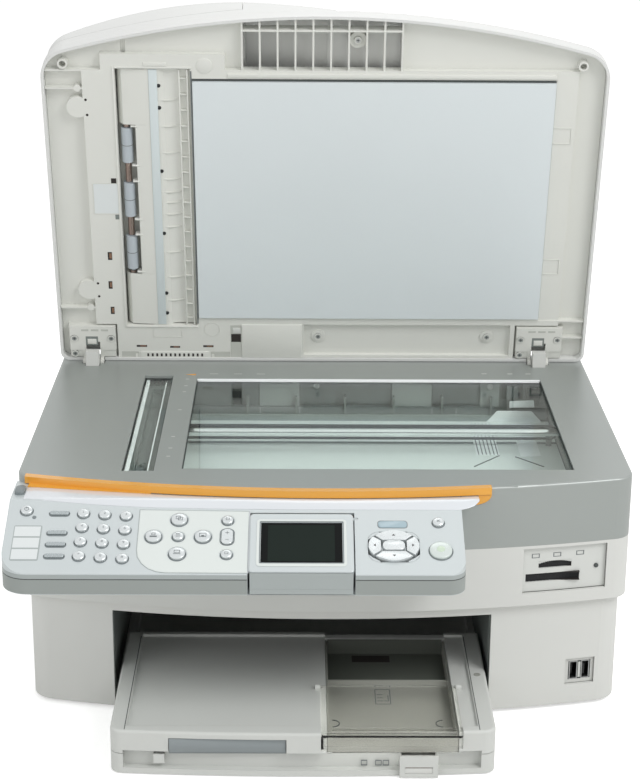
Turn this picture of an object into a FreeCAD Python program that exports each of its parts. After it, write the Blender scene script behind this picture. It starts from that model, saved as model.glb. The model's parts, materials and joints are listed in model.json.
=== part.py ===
"""Multifunction printer with its scanner lid open.

Units are millimetres. X runs to the right, Y to the back and Z up. The origin is the middle of the
ground face of the base, so the feet stand on Z = 0.
"""

import FreeCAD
import Part
import Sketcher
import math
import os

# Driving sizes, each with its own name.
SIZES = {
    # Main body, plan and levels
    "half_width": 231.5,
    "body_back": 165.0,
    "front_apex": 167.0,
    "front_bow_radius": 900.0,
    "front_round": 16.0,
    "back_round": 12.0,
    "deck_top": 190.0,
    "deck_bottom": 141.0,
    "lower_top": 92.0,
    "body_floor": 3.0,
    "wall": 2.5,
    "flange": 8.0,
    "lower_inset": 4.0,
    "lower_setback": 5.5,
    "lower_round": 20.0,
    "edge_round": 2.0,
    "fit_gap": 0.2,
    "move_gap": 0.3,
    "bearing_gap": 0.05,
    "overrun": 40.0,
    # Feet
    "foot_radius": 9.0,
    "foot_x": 195.0,
    "foot_front": 112.0,
    "foot_back": 138.0,
    # Paper opening and the guide frame behind it
    "opening_left": 162.0,
    "opening_right": 126.0,
    "opening_top": 84.0,
    "channel_back": 110.0,
    "guide_front": 138.0,
    "guide_rear_top": 64.0,
    "guide_step_y": 5.0,
    "runner_low": 8.0,
    "runner_high": 12.0,
    "platen_top": 60.0,
    "platen_front": 35.0,
    "platen_back": 75.0,
    # Print mechanism
    "frame_left": 192.0,
    "frame_right": 208.0,
    "frame_front": 30.0,
    "frame_top": 122.0,
    "frame_sheet": 2.0,
    "rod_radius": 4.0,
    "rod_y": 62.0,
    "rod_level": 86.0,
    "carriage_left": 135.0,
    "carriage_width": 58.0,
    "carriage_front": 30.0,
    "carriage_back": 95.0,
    "carriage_low": 67.0,
    "carriage_high": 117.0,
    "carriage_deck": 6.0,
    "cartridge_depth": 20.0,
    "cartridge_height": 40.0,
    "black_width": 20.0,
    "colour_width": 30.0,
    "carriage_travel": 280.0,
    "feed_y": 88.0,
    "feed_level": 54.0,
    "feed_radius": 8.0,
    "exit_y": 48.0,
    "exit_level": 56.0,
    "exit_radius": 6.0,
    "shaft_radius": 3.0,
    "roller_margin": 12.0,
    "pulley_radius": 10.0,
    "pulley_width": 5.0,
    # Circuit board with the mains inlet
    "board_left": 215.0,
    "board_right": 130.0,
    "board_front": 118.0,
    "board_back": 158.0,
    "board_level": 12.0,
    "board_thickness": 1.6,
    "post_radius": 3.0,
    "inlet_left": 205.0,
    "inlet_width": 28.0,
    "inlet_height": 20.0,
    "inlet_depth": 24.0,
    "inlet_bore": 4.2,
    "inlet_pitch": 8.6,
    "inlet_bore_depth": 12.0,
    "inlet_pin": 1.2,
    # Card slots and USB ports
    "card_left": 148.5,
    "card_right": 213.0,
    "card_low": 102.0,
    "card_high": 138.5,
    "card_setback": 3.0,
    "card_depth": 34.0,
    "slot_depth": 52.0,
    "upper_slot_left": 160.5,
    "upper_slot_right": 186.0,
    "upper_slot_low": 120.9,
    "upper_slot_high": 126.5,
    "lower_slot_left": 150.8,
    "lower_slot_right": 192.5,
    "lower_slot_low": 110.0,
    "lower_slot_high": 116.6,
    "usb_left": 186.0,
    "usb_right": 209.0,
    "usb_low": 19.0,
    "usb_high": 41.0,
    "usb_block_depth": 22.0,
    "usb_port_width": 5.0,
    "usb_port_height": 12.6,
    "usb_port_depth": 14.0,
    "usb_pitch": 9.6,
    "usb_tongue": 1.9,
    # Scanner
    "glass_left": 109.1,
    "glass_length": 297.0,
    "glass_front": 122.2,
    "glass_depth": 216.0,
    "glass_thickness": 3.0,
    "glass_lap": 4.0,
    "strip_left": 154.3,
    "strip_width": 24.4,
    "strip_front": 127.1,
    "strip_depth": 228.5,
    "pan_left": 168.0,
    "pan_right": 200.0,
    "pan_front": 138.0,
    "pan_back": 110.0,
    "pan_floor": 146.0,
    "pan_rib": 10.0,
    "pan_rib_height": 22.0,
    "scan_rod_radius": 3.0,
    "scan_rod_y": 10.0,
    "scan_rod_level": 170.0,
    "scan_left": 157.0,
    "scan_width": 30.0,
    "scan_front": 125.0,
    "scan_back": 95.0,
    "scan_low": 158.0,
    "scan_high": 181.0,
    "scan_slot": 9.0,
    "scan_slot_depth": 4.0,
    "belt_y": 35.0,
    "belt_width": 4.0,
    "belt_thickness": 1.0,
    "belt_left": 157.5,
    "belt_right": 190.0,
    "belt_axis_level": 161.0,
    "belt_pulley": 6.0,
    "trim_low": 185.0,
    "trim_proud": 0.4,
    "trim_forward": 1.9,
    "trim_inside": 4.6,
    "trim_left": 225.0,
    "trim_right": 122.0,
    # Control panel
    "panel_tilt": 24.0,
    "panel_ledge": 171.0,
    "panel_top": 184.5,
    "panel_front": 237.5,
    "panel_bottom": 139.0,
    "panel_left": 231.5,
    "panel_end_y": 135.0,
    "panel_right": 98.3,
    "panel_round_left": 20.0,
    "panel_round_right": 13.0,
    "button_gap": 0.35,
    "button_proud": 1.2,
    "button_stem": 4.2,
    "button_flange": 1.0,
    "button_flange_height": 1.2,
    "key_radius": 4.2,
    "key_first_x": 176.4,
    "key_first_down": 14.7,
    "key_pitch_x": 15.5,
    "key_pitch_down": 13.8,
    "key_column_drop": 1.1,
    "power_x": 217.8,
    "power_down": 11.9,
    "power_radius": 4.3,
    "bar_x": 193.9,
    "bar_length": 14.0,
    "bar_height": 3.6,
    "bar_first_down": 14.3,
    "bar_second_down": 33.5,
    "bar_pitch": 11.2,
    "mode_x": 106.8,
    "mode_down": 37.1,
    "mode_step_x": 17.7,
    "mode_step_down": 16.6,
    "mode_radius": 5.8,
    "menu_radius": 4.0,
    "side_x": 71.7,
    "side_top_down": 21.2,
    "side_bottom_down": 54.3,
    "side_radius": 4.0,
    "zoom_down": 37.1,
    "zoom_width": 8.4,
    "zoom_height": 14.6,
    "arrows_x": 47.6,
    "arrows_down": 46.1,
    "arrows_half_width": 18.1,
    "arrows_half_height": 14.4,
    "arrow_corner_x": 13.0,
    "arrow_corner_y": 9.8,
    "arrow_side_x": 14.6,
    "arrow_side_y": 8.6,
    "arrow_inner_x": 9.4,
    "arrow_inner_y": 5.6,
    "arrow_inner_half": 7.8,
    "arrow_inner_rise": 4.2,
    "enter_half_width": 7.6,
    "enter_half_height": 4.2,
    "cancel_x": 80.5,
    "cancel_down": 22.5,
    "cancel_radius": 4.2,
    "start_x": 81.0,
    "start_down": 49.9,
    "start_radius": 8.2,
    "lcd_left": 55.6,
    "lcd_right": 19.0,
    "lcd_back_down": 15.4,
    "lcd_front_down": 72.0,
    "lcd_proud": 2.0,
    "lcd_depth": 13.0,
    "lcd_round": 3.0,
    "lcd_side_gap": 0.8,
    "lcd_pin_radius": 1.5,
    "lcd_pin_down": 18.4,
    "lcd_pin_depth": 1.5,
    "lcd_pin_reach": 3.0,
    "window_left": 47.5,
    "window_right": 10.9,
    "window_back_down": 24.4,
    "window_front_down": 63.2,
    "window_thickness": 1.5,
    "window_sunk": 0.5,
    # Lid
    "hinge_y": 141.13,
    "lid_open": 76.87,
    "lid_half": 232.0,
    "lid_front": 321.7,
    "lid_rear": 1.0,
    "lid_bow_radius": 790.0,
    "lid_round": 25.0,
    "lid_rear_round": 8.0,
    "lid_rim": 0.6,
    "lid_thickness": 19.5,
    "lid_wall": 2.5,
    "lid_edge_round": 6.0,
    "lid_frame_sunk": 1.5,
    "frame_floor": 8.0,
    "raised_left": 199.0,
    "raised_right": 207.0,
    "raised_front": 275.0,
    "crest_left": 183.3,
    "crest_right": 82.0,
    "crest_front": 288.5,
    "pocket_gap": 2.0,
    "pocket_pad": 0.5,
    "ledge_drop": 1.2,
    "frame_rib": 1.5,
    "left_rib_front": 259.3,
    "left_rib_rear": 54.1,
    "left_rib_end": 203.0,
    "right_rib_front": 42.0,
    "right_rib_rear": 25.5,
    "rib_knob": 3.0,
    "tab_x": 203.5,
    "tab_radius": 9.3,
    "tab_front": 242.0,
    "tab_rear": 71.0,
    "corner_boss_left": 213.7,
    "corner_boss_right": 209.6,
    "corner_boss_y": 280.0,
    "corner_boss_radius": 4.2,
    "corner_boss_bore": 2.7,
    "corner_boss_rise": 1.0,
    "recess_left": 17.0,
    "recess_right": 165.0,
    "recess_front": 37.0,
    "recess_floor": 6.0,
    "screw_pad_radius": 6.0,
    "screw_pad_rise": 1.0,
    "screw_row": 23.9,
    "screw_first_x": 4.3,
    "screw_second_x": 144.9,
    "sheet_left": 108.8,
    "sheet_length": 297.4,
    "sheet_rear": 44.3,
    "sheet_depth": 221.0,
    "sheet_proud": 1.8,
    "sheet_seat": 1.5,
    "sheet_gap": 0.6,
    "sheet_front_gap": 2.2,
    "well_left": 172.0,
    "well_right": 110.5,
    "well_rear": 36.0,
    "well_front": 276.0,
    "well_depth": 17.0,
    "grip_left": 68.0,
    "grip_right": 62.0,
    "grip_rib": 1.6,
    "grip_depth": 13.0,
    "grip_cross": 308.0,
    "grip_cells": 9,
    "grip_boss_x": 26.0,
    "grip_boss_y": 299.0,
    "grip_boss_radius": 7.0,
    "grip_boss_level": 9.0,
    "hump_left": 229.0,
    "hump_right": 8.0,
    "hump_rear": 12.0,
    "hump_inset": 1.2,
    "hump_base": 27.0,
    "hump_left_height": 35.0,
    "hump_crest_x": 127.0,
    "hump_crest": 52.0,
    "hump_slot_x": 68.0,
    "hump_slot_height": 44.0,
    "rest_high": 31.0,
    "mouth_high": 41.0,
    "rest_low": 20.5,
    "rest_end_x": 1.0,
    "rest_cheek": 8.0,
    "cover_wall": 2.0,
    "cover_barrel": 2.5,
    "cover_pin_radius": 1.2,
    "cover_pin_reach": 4.0,
    "cover_lug_half": 2.0,
    "cover_lug_rear": 24.0,
    "cover_lug_front": 262.0,
    "hinge_left": 203.0,
    "hinge_right": 191.0,
    "leg_half": 5.7,
    "leg_front": 128.0,
    "leg_back": 147.0,
    "leg_post_back": 136.5,
    "leg_low": 122.0,
    "leg_top": 203.0,
    "knuckle_radius": 5.0,
    "pin_radius": 2.5,
    "cheek_gap": 0.5,
    "cheek_width": 3.0,
    "bracket_half": 20.0,
    "bracket_rear": 11.0,
    "bracket_front": 35.0,
    "bracket_thickness": 2.4,
    "flange_rear": 4.4,
    "flange_low": 4.5,
    "flange_high": 1.5,
    "flange_screw_y": 7.8,
    "leg_window_front": 19.5,
    "guide_x": 141.5,
    "guide_radius": 15.0,
    "guide_flat": 2.0,
    "roller_x": 164.7,
    "roller_depth": 8.0,
    "roller_radius": 4.8,
    "roller_length": 31.0,
    "roller_first": 91.0,
    "roller_pitch": 50.2,
    "roller_shaft": 1.8,
    "screw_head": 3.2,
    "screw_head_height": 1.2,
    "screw_sink": 0.8,
    # Trays
    "tray_left": 156.5,
    "tray_right": 123.0,
    "tray_apex": 249.5,
    "tray_bow_radius": 1800.0,
    "tray_round": 9.0,
    "tray_back": 65.0,
    "tray_low": 1.0,
    "tray_high": 16.5,
    "tray_step_y": 99.0,
    "tray_step_high": 13.0,
    "tray_lip_low": 12.3,
    "tray_lip_height": 2.0,
    "pull_left": 147.0,
    "pull_right": 112.5,
    "pull_low": 5.5,
    "pull_high": 19.5,
    "pull_depth": 6.0,
    "pull_stop_left": 125.0,
    "pull_stop_right": 117.0,
    "pull_stop_low": 9.0,
    "pull_stop_inset": 1.5,
    "out_low": 17.0,
    "out_plate": 33.0,
    "out_rim": 35.5,
    "out_back": 84.0,
    "out_ridge": 4.0,
    "out_ridge_high": 35.0,
    "rim_left": 12.0,
    "rim_right": 13.0,
    "rim_front": 6.0,
    "pivot_y": 94.0,
    "pivot_level": 24.0,
    "pivot_radius": 3.0,
    "ear_radius": 5.0,
    "ear_inset": 3.0,
    "ear_width": 3.0,
    "photo_left": 0.5,
    "photo_right": 96.0,
    "photo_back": 83.0,
    "photo_floor": 18.5,
    "photo_high": 29.5,
    "photo_wall": 1.5,
    "photo_front": 244.0,
    "photo_fence_y": 150.0,
    "cover_left": 3.5,
    "cover_right": 98.5,
    "cover_back": 178.0,
    "cover_front": 251.5,
    "cover_low": 22.0,
    "cover_sheet": 1.8,
    "cover_axis": 1.2,
    "cover_lug": 4.0,
    "cover_lug_radius": 2.2,
    "slide_left": 113.5,
    "slide_right": 29.0,
    "slide_plate_low": 24.0,
    "slide_plate": 2.4,
    "slide_back": 112.0,
    "slide_front": 246.5,
    "slide_lip": 3.0,
    "slide_lip_low": 18.0,
    "slide_lip_high": 31.5,
    "slide_rail": 2.0,
    "slide_ledge": 4.0,
    "latch_left": 53.0,
    "latch_right": 81.0,
    "latch_low": 1.2,
    "latch_high": 18.5,
    "latch_plate": 1.6,
    "latch_tail_inset": 2.0,
    "latch_tail_low": 4.0,
    "latch_tail_high": 12.5,
    "latch_tail_back": 196.0,
    "latch_slot_low": 4.5,
    "latch_slot_high": 9.5,
    "latch_slot_depth": 6.0,
}

doc = FreeCAD.newDocument("multifunction_printer")
sheet = doc.addObject("Spreadsheet::Sheet", "sizes")


class Size:
    """A length with its value and the sheet expression that it comes from."""

    def __init__(self, value, text):
        self.value = float(value)
        self.text = text

    def joined(self, sign, other, value):
        return Size(value, "(" + self.text + " " + sign + " " + as_size(other).text + ")")

    def __add__(self, other):
        return self.joined("+", other, self.value + as_size(other).value)

    def __sub__(self, other):
        return self.joined("-", other, self.value - as_size(other).value)

    def __mul__(self, other):
        return self.joined("*", other, self.value * as_size(other).value)

    def __truediv__(self, other):
        return self.joined("/", other, self.value / as_size(other).value)

    def __neg__(self):
        return Size(-self.value, "(0 - " + self.text + ")")

    def __rmul__(self, other):
        return as_size(other) * self

    def __radd__(self, other):
        return as_size(other) + self


def as_size(item):
    """Give a plain number the same form as a named size."""
    if isinstance(item, Size):
        return item
    return Size(item, repr(item))


def root(item):
    """Square root of a size."""
    return Size(math.sqrt(item.value), "sqrt(" + item.text + ")")


def tangent_of(item):
    """Tangent of an angle in degrees."""
    return Size(math.tan(math.radians(item.value)), "tan(" + item.text + ")")


def cosine_of(item):
    """Cosine of an angle in degrees."""
    return Size(math.cos(math.radians(item.value)), "cos(" + item.text + ")")


def sine_of(item):
    """Sine of an angle in degrees."""
    return Size(math.sin(math.radians(item.value)), "sin(" + item.text + ")")


class Named:
    """The sizes of the sheet, each under its own name."""


dims = Named()
for row, (alias, number) in enumerate(SIZES.items(), start=1):
    sheet.set("A" + str(row), alias)
    sheet.set("B" + str(row), str(number))
    sheet.setAlias("B" + str(row), alias)
    setattr(dims, alias, Size(number, "sizes." + alias))
doc.recompute()

nodes = {}


# Building blocks

def bind(item, name, size):
    """Tie one property of an object to the sheet."""
    item.setExpression(name, as_size(size).text)


def box(name, x, y, z):
    """Block between two values on each axis."""
    item = doc.addObject("Part::Box", name)
    for side, (low, high) in zip(("Length", "Width", "Height"), (x, y, z)):
        bind(item, side, as_size(high) - low)
    for axis, (low, high) in zip("xyz", (x, y, z)):
        bind(item, "Placement.Base." + axis, low)
    return item


def rod(name, axis, radius, start, end, across):
    """Round bar along one axis from start to end; across gives its other two coordinates."""
    item = doc.addObject("Part::Cylinder", name)
    bind(item, "Radius", radius)
    bind(item, "Height", as_size(end) - start)
    turns = {
        "X": FreeCAD.Rotation(FreeCAD.Vector(0, 1, 0), 90),
        "Y": FreeCAD.Rotation(FreeCAD.Vector(1, 0, 0), -90),
        "Z": FreeCAD.Rotation(),
    }
    item.Placement = FreeCAD.Placement(FreeCAD.Vector(), turns[axis])
    others = [letter for letter in "XYZ" if letter != axis]
    bind(item, "Placement.Base." + axis.lower(), start)
    for letter, value in zip(others, across):
        bind(item, "Placement.Base." + letter.lower(), value)
    return item


def ball(name, radius, x, y, z):
    """Sphere about a point."""
    item = doc.addObject("Part::Sphere", name)
    bind(item, "Radius", radius)
    for axis, value in zip("xyz", (x, y, z)):
        bind(item, "Placement.Base." + axis, value)
    return item


def fuse(name, pieces):
    """Join several solids."""
    item = doc.addObject("Part::MultiFuse", name)
    item.Shapes = pieces
    return item


def common(name, pieces):
    """Keep what several solids share."""
    item = doc.addObject("Part::MultiCommon", name)
    item.Shapes = pieces
    return item


def cut(name, base, tools):
    """Take one or more solids away from another."""
    item = doc.addObject("Part::Cut", name)
    item.Base = base
    item.Tool = tools[0] if len(tools) == 1 else fuse(name + "_tools", tools)
    return item


def point(x, y):
    """Sketch point at two sizes."""
    return FreeCAD.Vector(as_size(x).value, as_size(y).value, 0)


def hold(sketch, edge, end, x, y):
    """Fix one end of a sketch edge by its two coordinates."""
    for kind, value in (("DistanceX", x), ("DistanceY", y)):
        size = as_size(value)
        rule = sketch.addConstraint(Sketcher.Constraint(kind, -1, 1, edge, end, size.value))
        sketch.setExpression("Constraints[" + str(rule) + "]", size.text)


def draw_loop(sketch, corners, arcs=None):
    """Closed loop through the corners; arcs gives (centre, radius, turn) for a run that bends.

    Turn is 1 where the run goes anticlockwise round its centre, or -1 the other way.
    """
    arcs = arcs or {}
    edges = []
    for i, corner in enumerate(corners):
        begin = point(*corner)
        finish = point(*corners[(i + 1) % len(corners)])
        if i not in arcs:
            edges.append((sketch.addGeometry(Part.LineSegment(begin, finish), False), 1, 2))
            continue
        centre, radius, turn = arcs[i]
        middle = point(*centre)
        first, last = (begin, finish) if turn > 0 else (finish, begin)
        angles = [math.atan2(end.y - middle.y, end.x - middle.x) for end in (first, last)]
        if angles[1] <= angles[0]:
            angles[1] += 2 * math.pi
        circle = Part.Circle(middle, FreeCAD.Vector(0, 0, 1), as_size(radius).value)
        edge = sketch.addGeometry(Part.ArcOfCircle(circle, angles[0], angles[1]), False)
        edges.append((edge, 1, 2) if turn > 0 else (edge, 2, 1))
    for i, (edge, begin, finish) in enumerate(edges):
        following = edges[(i + 1) % len(edges)]
        sketch.addConstraint(Sketcher.Constraint("Coincident", edge, finish, following[0], following[1]))
    for i, (edge, begin, finish) in enumerate(edges):
        hold(sketch, edge, begin, *corners[i])
        if i in arcs:
            radius = as_size(arcs[i][1])
            rule = sketch.addConstraint(Sketcher.Constraint("Radius", edge, radius.value))
            sketch.setExpression("Constraints[" + str(rule) + "]", radius.text)


def prism(name, plane, start, end, corners, arcs=None):
    """Body with one sketch on an origin plane, padded from start to end along the plane's axis."""
    body = doc.addObject("PartDesign::Body", name)
    role = {"Z": "XY_Plane", "Y": "XZ_Plane", "X": "YZ_Plane"}[plane]
    support = [item for item in body.Origin.OriginFeatures if item.Role == role][0]
    sketch = body.newObject("Sketcher::SketchObject", name + "_sketch")
    sketch.AttachmentSupport = [(support, "")]
    sketch.MapMode = "FlatFace"
    level = -as_size(end) if plane == "Y" else as_size(start)
    bind(sketch, "AttachmentOffset.Base.z", level)
    draw_loop(sketch, corners, arcs)
    pad = body.newObject("PartDesign::Pad", name + "_pad")
    pad.Profile = sketch
    bind(pad, "Length", as_size(end) - start)
    body.Tip = pad
    return body


def bowed(half, back, apex, bow, front_round, back_round, centre=0.0):
    """Plan outline with straight sides and back and a front that bows towards -Y."""
    half = as_size(half)
    middle = as_size(centre)
    axis = -as_size(apex) + bow
    corner_y = axis - root((bow - front_round) * (bow - front_round) - (half - front_round) * (half - front_round))
    ratio = as_size(bow) / (bow - front_round)
    touch_x = (half - front_round) * ratio
    touch_y = axis + (corner_y - axis) * ratio
    corners = [
        (middle + half, corner_y),
        (middle + half, back - back_round),
        (middle + half - back_round, back),
        (middle - half + back_round, back),
        (middle - half, back - back_round),
        (middle - half, corner_y),
        (middle - touch_x, touch_y),
        (middle + touch_x, touch_y),
    ]
    arcs = {
        1: ((middle + half - back_round, back - back_round), back_round, 1),
        3: ((middle - half + back_round, back - back_round), back_round, 1),
        5: ((middle - half + front_round, corner_y), front_round, 1),
        6: ((middle, axis), bow, 1),
        7: ((middle + half - front_round, corner_y), front_round, 1),
    }
    return corners, arcs


def rounded(x, y, radius):
    """Rectangle with four round corners."""
    (left, right), (low, high) = x, y
    corners = [
        (left + radius, low), (right - radius, low), (right, low + radius), (right, high - radius),
        (right - radius, high), (left + radius, high), (left, high - radius), (left, low + radius),
    ]
    arcs = {
        1: ((right - radius, low + radius), radius, 1),
        3: ((right - radius, high - radius), radius, 1),
        5: ((left + radius, high - radius), radius, 1),
        7: ((left + radius, low + radius), radius, 1),
    }
    return corners, arcs


def soften(name, base, axis, level, radius):
    """Round every edge of a shape that lies flat at one level of an axis."""
    doc.recompute()
    shape = base.Shape
    place = shape.Placement.inverse()
    picked = []
    for number, edge in enumerate(shape.Edges, start=1):
        values = []
        for vertex in edge.discretize(3):
            local = place.multVec(vertex)
            values.append({"x": local.x, "y": local.y, "z": local.z}[axis])
        if max(abs(value - level.value) for value in values) < 1e-4:
            picked.append((number, radius.value, radius.value))
    item = doc.addObject("Part::Fillet", name)
    item.Base = base
    item.Edges = picked
    return item


def slab(name, x, y, z):
    """Block that can take a frame of its own: a sketched rectangle, padded."""
    (left, right), (near, far) = x, y
    return prism(name, "Z", z[0], z[1], [(left, near), (right, near), (right, far), (left, far)])


def bevel(name, base, level, size):
    """Bevel every edge of a shape that lies flat at one height."""
    doc.recompute()
    picked = []
    for number, edge in enumerate(base.Shape.Edges, start=1):
        heights = [vertex.z for vertex in edge.discretize(3)]
        if max(abs(height - level.value) for height in heights) < 1e-4:
            picked.append((number, size.value, size.value))
    item = doc.addObject("Part::Chamfer", name)
    item.Base = base
    item.Edges = picked
    return item


def keep(name, item, frame=None):
    """Make a finished piece a node of its own, in its own frame."""
    item.Label = name
    if frame:
        (x, y, z), angle = frame
        item.Placement = FreeCAD.Placement(FreeCAD.Vector(), FreeCAD.Rotation(FreeCAD.Vector(1, 0, 0), 1))
        bind(item, "Placement.Rotation.Angle", angle)
        for axis, value in zip("xyz", (x, y, z)):
            bind(item, "Placement.Base." + axis, value)
    nodes[name] = item
    return item


d = dims
zero = as_size(0.0)
panel_place = ((zero, -d.panel_ledge, d.panel_top), d.panel_tilt)
lid_place = ((zero, d.hinge_y, d.deck_top), -d.lid_open + 180)


# Main body

def lower_outline(inset):
    """Plan of the lower housing, moved in by an inset."""
    inset = as_size(inset)
    return bowed(d.half_width - d.lower_inset - inset, d.body_back - d.lower_inset - inset,
                 d.front_apex - d.lower_setback - inset, d.front_bow_radius,
                 d.lower_round - inset, d.back_round - inset)


def upper_outline(inset):
    """Plan of the upper housing and the scanner deck, moved in by an inset."""
    inset = as_size(inset)
    return bowed(d.half_width - inset, d.body_back - inset, d.front_apex - inset,
                 d.front_bow_radius - inset, d.front_round - inset, d.back_round - inset)


def bow_disc(name, setback, low, high, apex):
    """Disc whose rim follows the bowed front, moved back by a setback."""
    return rod(name, "Z", d.front_bow_radius - setback, low, high, (zero, -apex + d.front_bow_radius))


def make_feet():
    pads = []
    for i, (x, y) in enumerate(((-d.foot_x, -d.foot_front), (d.foot_x, -d.foot_front),
                                (-d.foot_x, d.foot_back), (d.foot_x, d.foot_back))):
        pads.append(rod("foot_" + str(i), "Z", d.foot_radius, zero, d.body_floor, (x, y)))
    keep("rubber_feet", fuse("rubber_feet", pads))


def make_base_pan():
    top = d.body_floor + d.wall
    plate = prism("pan_plate", "Z", d.body_floor, top, *lower_outline(d.wall + d.fit_gap))
    channel = box("pan_channel", (-d.opening_left, d.opening_right),
                  (-d.front_apex - d.overrun, d.channel_back), (zero, top + d.overrun))
    keep("base_pan", cut("base_pan", plate, [channel]))


def make_lower_housing():
    outer = prism("lower_outer", "Z", d.body_floor, d.lower_top, *lower_outline(0.0))
    inner = prism("lower_inner", "Z", d.body_floor - d.overrun, d.lower_top + d.overrun,
                  *lower_outline(d.wall))
    mouth = box("lower_mouth", (-d.opening_left, d.opening_right), (-d.front_apex - d.overrun, zero),
                (d.body_floor - d.overrun, d.opening_top))
    usb = box("lower_usb", (d.usb_left, d.usb_right), (-d.front_apex, zero), (d.usb_low, d.usb_high))
    inlet_low = d.board_level + d.board_thickness
    inlet = box("lower_inlet", (-d.inlet_left - d.fit_gap, -d.inlet_left + d.inlet_width + d.fit_gap),
                (zero, d.body_back + d.overrun),
                (inlet_low - d.fit_gap, inlet_low + d.inlet_height + d.fit_gap))
    keep("lower_housing", cut("lower_housing", outer, [inner, mouth, usb, inlet]))


def make_upper_housing():
    outer = prism("upper_outer", "Z", d.lower_top, d.deck_bottom, *upper_outline(0.0))
    inner = prism("upper_inner", "Z", d.lower_top + d.wall, d.deck_bottom + d.overrun,
                  *upper_outline(d.wall))
    hole = prism("upper_hole", "Z", d.lower_top - d.overrun, d.deck_bottom, *upper_outline(d.wall + d.flange))
    card = box("upper_card", (d.card_left, d.card_right), (-d.front_apex - d.overrun, -d.overrun),
               (d.card_low, d.card_high))
    keep("upper_housing", cut("upper_housing", outer, [inner, hole, card]))


def make_trim():
    top = d.deck_top + d.trim_proud

    def ring(name, low, high):
        outer = bow_disc(name + "_outer", -d.trim_forward, low, high, d.front_apex)
        inner = bow_disc(name + "_inner", d.trim_inside, low - d.overrun, high + d.overrun, d.front_apex)
        span = box(name + "_span", (-d.trim_left, d.trim_right), (-d.front_apex - d.overrun, zero), (low, high))
        return cut(name, common(name + "_part", [outer, span]), [inner])

    strip = ring("front_trim", d.trim_low, top)
    keep("front_trim", strip)
    return ring("trim_seat", d.trim_low, top + d.overrun)


def make_scanner_deck(trim_seat):
    outer = prism("deck_outer", "Z", d.deck_bottom, d.deck_top, *upper_outline(0.0))
    rounded_top = soften("deck_rounded", outer, "z", d.deck_top, d.edge_round)
    under = d.deck_top - d.wall
    hollow = prism("deck_hollow", "Z", d.deck_bottom - d.overrun, under, *upper_outline(d.wall))
    shell = cut("deck_shell", rounded_top, [hollow])
    sleeves = []
    holes = []
    for side, x in (("left", -d.hinge_left), ("right", d.hinge_right)):
        reach = d.leg_half + d.move_gap
        wide = d.leg_half + d.cheek_gap + d.cheek_width + d.move_gap * 2
        front = d.leg_front - d.move_gap
        back = d.leg_back + d.move_gap
        shelf = d.deck_top - d.knuckle_radius - d.move_gap * 2
        sleeves.append(box("sleeve_" + side, (x - wide - d.wall, x + wide + d.wall),
                           (front - d.wall, back + d.wall), (d.leg_low - d.wall, under)))
        holes.append(box("socket_" + side, (x - reach, x + reach), (front, back),
                         (d.leg_low - d.move_gap, d.deck_top + d.overrun)))
        holes.append(box("mouth_" + side, (x - wide, x + wide),
                         (d.hinge_y - d.knuckle_radius - d.move_gap * 2, back),
                         (shelf, d.deck_top + d.overrun)))
    glass = box("deck_glass_window", (-d.glass_left, -d.glass_left + d.glass_length),
                (-d.glass_front, -d.glass_front + d.glass_depth), (under - d.wall, d.deck_top + d.overrun))
    strip = box("deck_strip_window", (-d.strip_left, -d.strip_left + d.strip_width),
                (-d.strip_front, -d.strip_front + d.strip_depth), (under - d.wall, d.deck_top + d.overrun))
    whole = fuse("deck_whole", [shell] + sleeves)
    keep("scanner_deck", cut("scanner_deck", whole, holes + [glass, strip, trim_seat]))


def make_glasses():
    high = d.deck_top - d.wall
    low = high - d.glass_thickness
    lap = d.glass_lap
    keep("platen_glass", box("platen_glass", (-d.glass_left - lap, -d.glass_left + d.glass_length + lap),
                             (-d.glass_front - lap, -d.glass_front + d.glass_depth + lap), (low, high)))
    keep("document_strip_glass", box("document_strip_glass",
                                     (-d.strip_left - lap, -d.strip_left + d.strip_width + lap),
                                     (-d.strip_front - lap, -d.strip_front + d.strip_depth + lap), (low, high)))


def belt_loop(name, radius, y, x):
    """Solid with two round ends that a belt runs round."""
    low, high = y
    left, right = x
    level = d.belt_axis_level
    bar = box(name + "_bar", (left, right), (low, high), (level - radius, level + radius))
    ends = [rod(name + "_end_" + str(i), "Y", radius, low, high, (end, level)) for i, end in enumerate((left, right))]
    return fuse(name, [bar] + ends)


def make_scanner_pan():
    wall = d.frame_sheet
    top = d.deck_top - d.wall
    outer = box("pan_outer", (-d.pan_left, d.pan_right), (-d.pan_front, d.pan_back), (d.pan_floor, top))
    inner = box("pan_inner", (-d.pan_left + wall, d.pan_right - wall), (-d.pan_front + wall, d.pan_back - wall),
                (d.pan_floor + wall, top + d.overrun))
    shell = cut("pan_shell", outer, [inner])
    extras = []
    rib_count = 6
    for i in range(rib_count):
        x = -d.glass_left + d.glass_length * (i + 1) / (rib_count + 1)
        extras.append(box("pan_rib_" + str(i), (x, x + wall), (d.pan_back - wall - d.pan_rib, d.pan_back - wall),
                          (d.pan_floor + wall, d.pan_floor + wall + d.pan_rib_height)))
    inside = d.belt_pulley - d.belt_thickness - d.fit_gap
    for side, x in (("left", -d.belt_left), ("right", d.belt_right)):
        extras.append(rod("pan_pulley_" + side, "Y", inside, d.belt_y - d.belt_width / 2,
                          d.belt_y + d.belt_width / 2, (x, d.belt_axis_level)))
        extras.append(box("pan_stand_" + side, (x - inside / 2, x + inside / 2),
                          (d.belt_y + d.belt_width / 2, d.belt_y + d.belt_width / 2 + wall),
                          (d.pan_floor + wall, d.belt_axis_level + inside / 2)))
    keep("scanner_pan", fuse("scanner_pan", [shell] + extras))


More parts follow.
